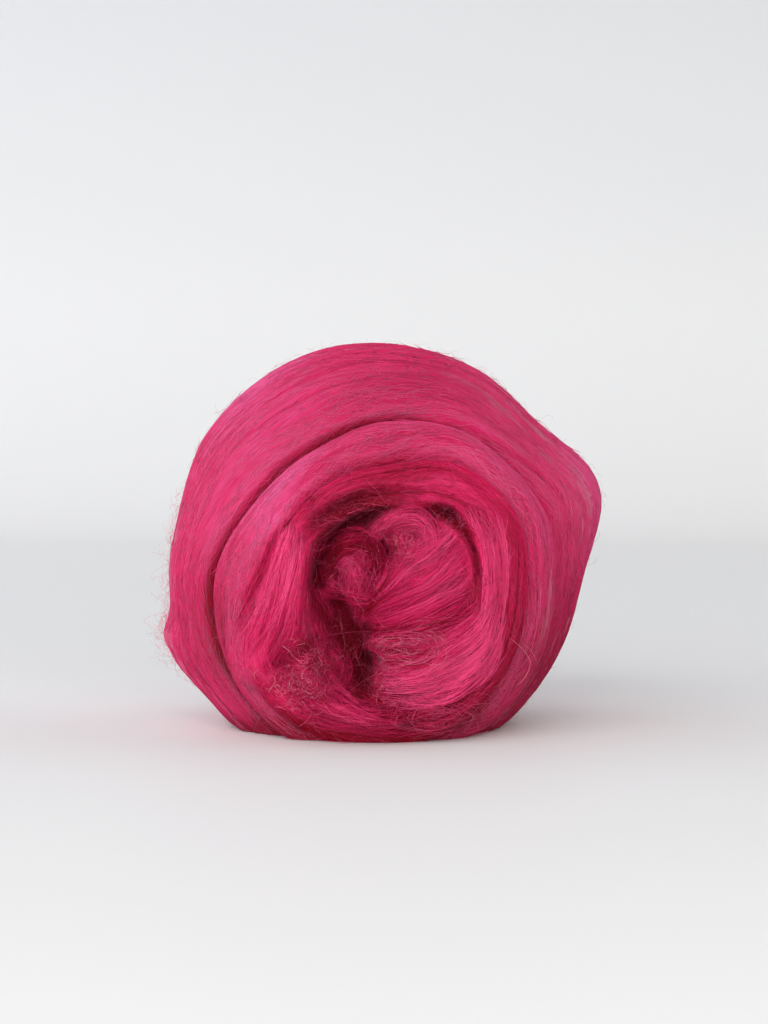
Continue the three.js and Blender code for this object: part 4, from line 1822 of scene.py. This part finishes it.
@dataclass
class StrayHairs:
    """Thin curly hairs that stand off the ball."""

    body: WoundBody
    patches: tuple[StrayPatch, ...] = STRAY_PATCHES
    steps: int = 8
    look_ahead: float = 0.004
    stand_shape: float = 1.6
    stand_reach: float = 0.62
    bow: float = 0.18
    curl: Gamma = (1.5, 0.4)
    least_turns: float = 3.0
    curl_lift: float = 0.4
    sunk_root: float = 0.1
    ball_width: float = 110.0
    drop_share: float = 0.75
    tint_spread: float = 0.18

    def strands(self) -> Strands:
        """Grows the hairs of every patch."""
        return Strands.joined([self.patch_strands(patch, index) for index, patch in enumerate(self.patches)])

    def patch_strands(self, patch: StrayPatch, index: int) -> Strands:
        """Grows the hairs of one patch.

        Args:
            patch: The patch.
            index: Its place in the list, which seeds it.

        Returns:
            Its hairs.
        """
        rng = chance(Stream.STRAYS.value, index)
        count = patch.count
        share = rng.uniform(*patch.angles, count) / FULL_TURN
        across = self.body.across_at(rng.uniform(*patch.stations, count))
        root, normal, _ = self.body.at(share, across)
        ahead, _, _ = self.body.at(share + self.look_ahead, across)
        along = unit(ahead - root) * column(either_way(rng, count))
        way = np.linspace(0, 1, self.steps)[None]
        length = column(rng.uniform(*patch.length, count))
        bearing = column(rng.normal(0, patch.turned, count))
        heading = np.cos(bearing) * along + np.sin(bearing) * np.cross(normal, along)
        sideways = np.cross(normal, heading)
        stand = column(rng.gamma(self.stand_shape, patch.stand / self.stand_shape, count))
        bow = column(rng.normal(0, self.bow, count)) * length
        curl = column(rng.gamma(*self.curl, count))
        phase, turns = (column(values) for values in rng.uniform(0, 2 * math.pi, (2, count)))
        turned = (self.least_turns + turns) * way
        aside = bow * way ** 2 + curl * np.sin(turned + phase)
        lift = stand * np.sin(math.pi * self.stand_reach * way) - self.sunk_root
        lift = lift + self.curl_lift * curl * (1 - np.cos(turned))
        lift = lift - self.drop_share * (length * way) ** 2 / self.ball_width
        lines = root[:, None] + heading[:, None] * (length * way)[..., None]
        lines = lines + sideways[:, None] * aside[..., None] + normal[:, None] * lift[..., None]
        upward = np.broadcast_to(normal[:, None], lines.shape)
        tint = np.repeat(column(rng.normal(patch.tint, self.tint_spread, count)), self.steps, axis=1)
        return Strands(lines, upward, rng.uniform(*patch.half, count), tint)


@dataclass(frozen=True)
class SoftLight:
    """A soft lamp: place and target in metres, side, power and colour."""

    name: str
    place: Place
    target: Place
    side: float
    power: float
    colour: Colour


LIGHTS = (
    SoftLight("window_left", (-1.1, -1.8, 0.9), (0, 0, 0.05), 2.2, 40.0, (0.95, 0.97, 1.0)),
    SoftLight("front_fill", (0.12, -1.2, 0.3), (0, 0, 0.05), 0.8, 7.4, (1.0, 0.98, 0.97)),
    SoftLight("rim_left", (-1.3, 0.3, 0.8), (0, 0, 0.06), 1.4, 6.5, (0.8, 0.85, 1.0)),
    SoftLight("rim_right", (1.3, 0.5, 0.9), (0, 0, 0.06), 1.4, 5.0, (0.92, 0.94, 1.0)),
)


@dataclass
class Studio:
    """The pale floor, the backdrop, the soft lights and the camera, in metres."""

    lights: tuple[SoftLight, ...] = LIGHTS
    camera_place: Place = (-0.00105, -0.79472, 0.095)
    camera_lens: float = 100.0
    camera_down: float = 2.556
    floor_half: float = 2.2
    floor_front: float = -2.0
    wall_y: float = 1.07
    wall_height: float = 1.6
    sweep: float = 0.16
    sweep_steps: int = 16
    floor_colour: Colour = (0.94, 0.925, 0.9)
    wall_colour: Colour = (0.71, 0.715, 0.72)
    wall_from: Span = (0.0, 0.5)
    stage_rough: float = 0.6
    stage_specular: float = 0.2
    world_strength: float = 0.27
    world_colour: Colour = (0.96, 0.98, 1.0)

    def build(self) -> None:
        """Makes the stage, the lights and the camera."""
        self.backdrop()
        for light in self.lights:
            self.lamp(light)
        self.world()
        self.camera()
        bpy.context.scene.view_settings.view_transform = "Standard"
        bpy.context.scene.view_settings.look = "None"

    def backdrop(self) -> None:
        """Makes a pale floor that sweeps up into a pale wall."""
        angle = np.linspace(0, math.pi / 2, self.sweep_steps)
        curve = self.wall_y - self.sweep + self.sweep * np.sin(angle)
        y = np.concatenate([[self.floor_front], curve, [self.wall_y]])
        z = np.concatenate([[0.0], self.sweep - self.sweep * np.cos(angle), [self.wall_height]])
        points = [(x, *place) for place in zip(y, z) for x in (-self.floor_half, self.floor_half)]
        faces = [(start, start + 1, start + 3, start + 2) for start in range(0, len(points) - 2, 2)]
        mesh = bpy.data.meshes.new("backdrop")
        mesh.from_pydata(points, [], faces)
        mesh.shade_smooth()
        mesh.materials.append(self.stage_material())
        stage = bpy.data.objects.new("backdrop", mesh)
        bpy.context.scene.collection.objects.link(stage)

    def stage_material(self) -> bpy.types.Material:
        """A matt finish that runs from the floor's colour to the wall's.

        Returns:
            The material.
        """
        material = bpy.data.materials.new("pale_floor")
        material.use_nodes = True
        shader = material.node_tree.nodes["Principled BSDF"]
        shader.inputs["Roughness"].default_value = self.stage_rough
        shader.inputs["Specular IOR Level"].default_value = self.stage_specular
        wiring = Wiring(material.node_tree)
        place = wiring.node("ShaderNodeSeparateXYZ")
        wiring.link(wiring.node("ShaderNodeTexCoord").outputs["Object"], place.inputs[0])
        low, high = wiring.node("ShaderNodeRGB").outputs[0], wiring.node("ShaderNodeRGB").outputs[0]
        low.default_value, high.default_value = (*self.floor_colour, 1), (*self.wall_colour, 1)
        height = wiring.ramp(place.outputs["Z"], self.wall_from, (0, 1))
        wiring.link(wiring.mix(height, low, high), shader.inputs["Base Color"])
        return material

    def lamp(self, light: SoftLight) -> None:
        """Adds one soft square lamp that faces its target.

        Args:
            light: The lamp.
        """
        data = bpy.data.lights.new(light.name, "AREA")
        data.size, data.energy, data.color = light.side, light.power, light.colour
        lamp = bpy.data.objects.new(light.name, data)
        lamp.location = light.place
        facing = Vector(light.target) - Vector(light.place)
        lamp.rotation_euler = facing.to_track_quat("-Z", "Y").to_euler()
        bpy.context.scene.collection.objects.link(lamp)

    def world(self) -> None:
        """Sets even light from all round."""
        world = bpy.data.worlds.new("soft_room")
        world.use_nodes = True
        background = world.node_tree.nodes["Background"]
        background.inputs["Color"].default_value = (*self.world_colour, 1)
        background.inputs["Strength"].default_value = self.world_strength
        bpy.context.scene.world = world

    def camera(self) -> None:
        """Adds the camera at the photograph's viewing angle."""
        data = bpy.data.cameras.new("camera")
        data.lens = self.camera_lens
        camera = bpy.data.objects.new("camera", data)
        camera.location = self.camera_place
        camera.rotation_euler = (math.radians(QUARTER_TURN - self.camera_down), 0, 0)
        bpy.context.scene.collection.objects.link(camera)
        bpy.context.scene.camera = camera


def report(piece: bpy.types.Object) -> None:
    """Logs a piece and its triangles."""
    log.info("%s: %d triangles", piece.name, len(piece.data.polygons))


def main() -> None:
    """Builds the stage, then the body, its combed fibres and its loose hairs."""
    logging.basicConfig(level=logging.INFO, format="%(message)s")
    Studio().build()
    groups = ShaderGroups()
    materials = {finish: finish.material(groups) for finish in FINISHES}
    form = WoundForm()
    body = WoundBody(form)
    report(body.build(materials[BODY_FINISH]))
    for zone in ZONES:
        report(zone.strands_on(body).build(zone.name, materials[zone.finish], form.middle))
    relief = FrontRelief(body)
    dressings = (
        ("fibres_eye", CombedMasses(relief, EYE_MASSES, Stream.EYE), STRAND_FINISH),
        ("fibres_rolls", CombedMasses(relief, ROLL_MASSES, Stream.ROLLS), STRAND_FINISH),
        ("fibre_ends", LooseEnds(relief), STRAY_FINISH),
        ("stray_hairs", StrayHairs(body), STRAY_FINISH),
    )
    for name, dressing, finish in dressings:
        report(dressing.strands().build(name, materials[finish], form.middle))


if __name__ == "__main__":
    main()
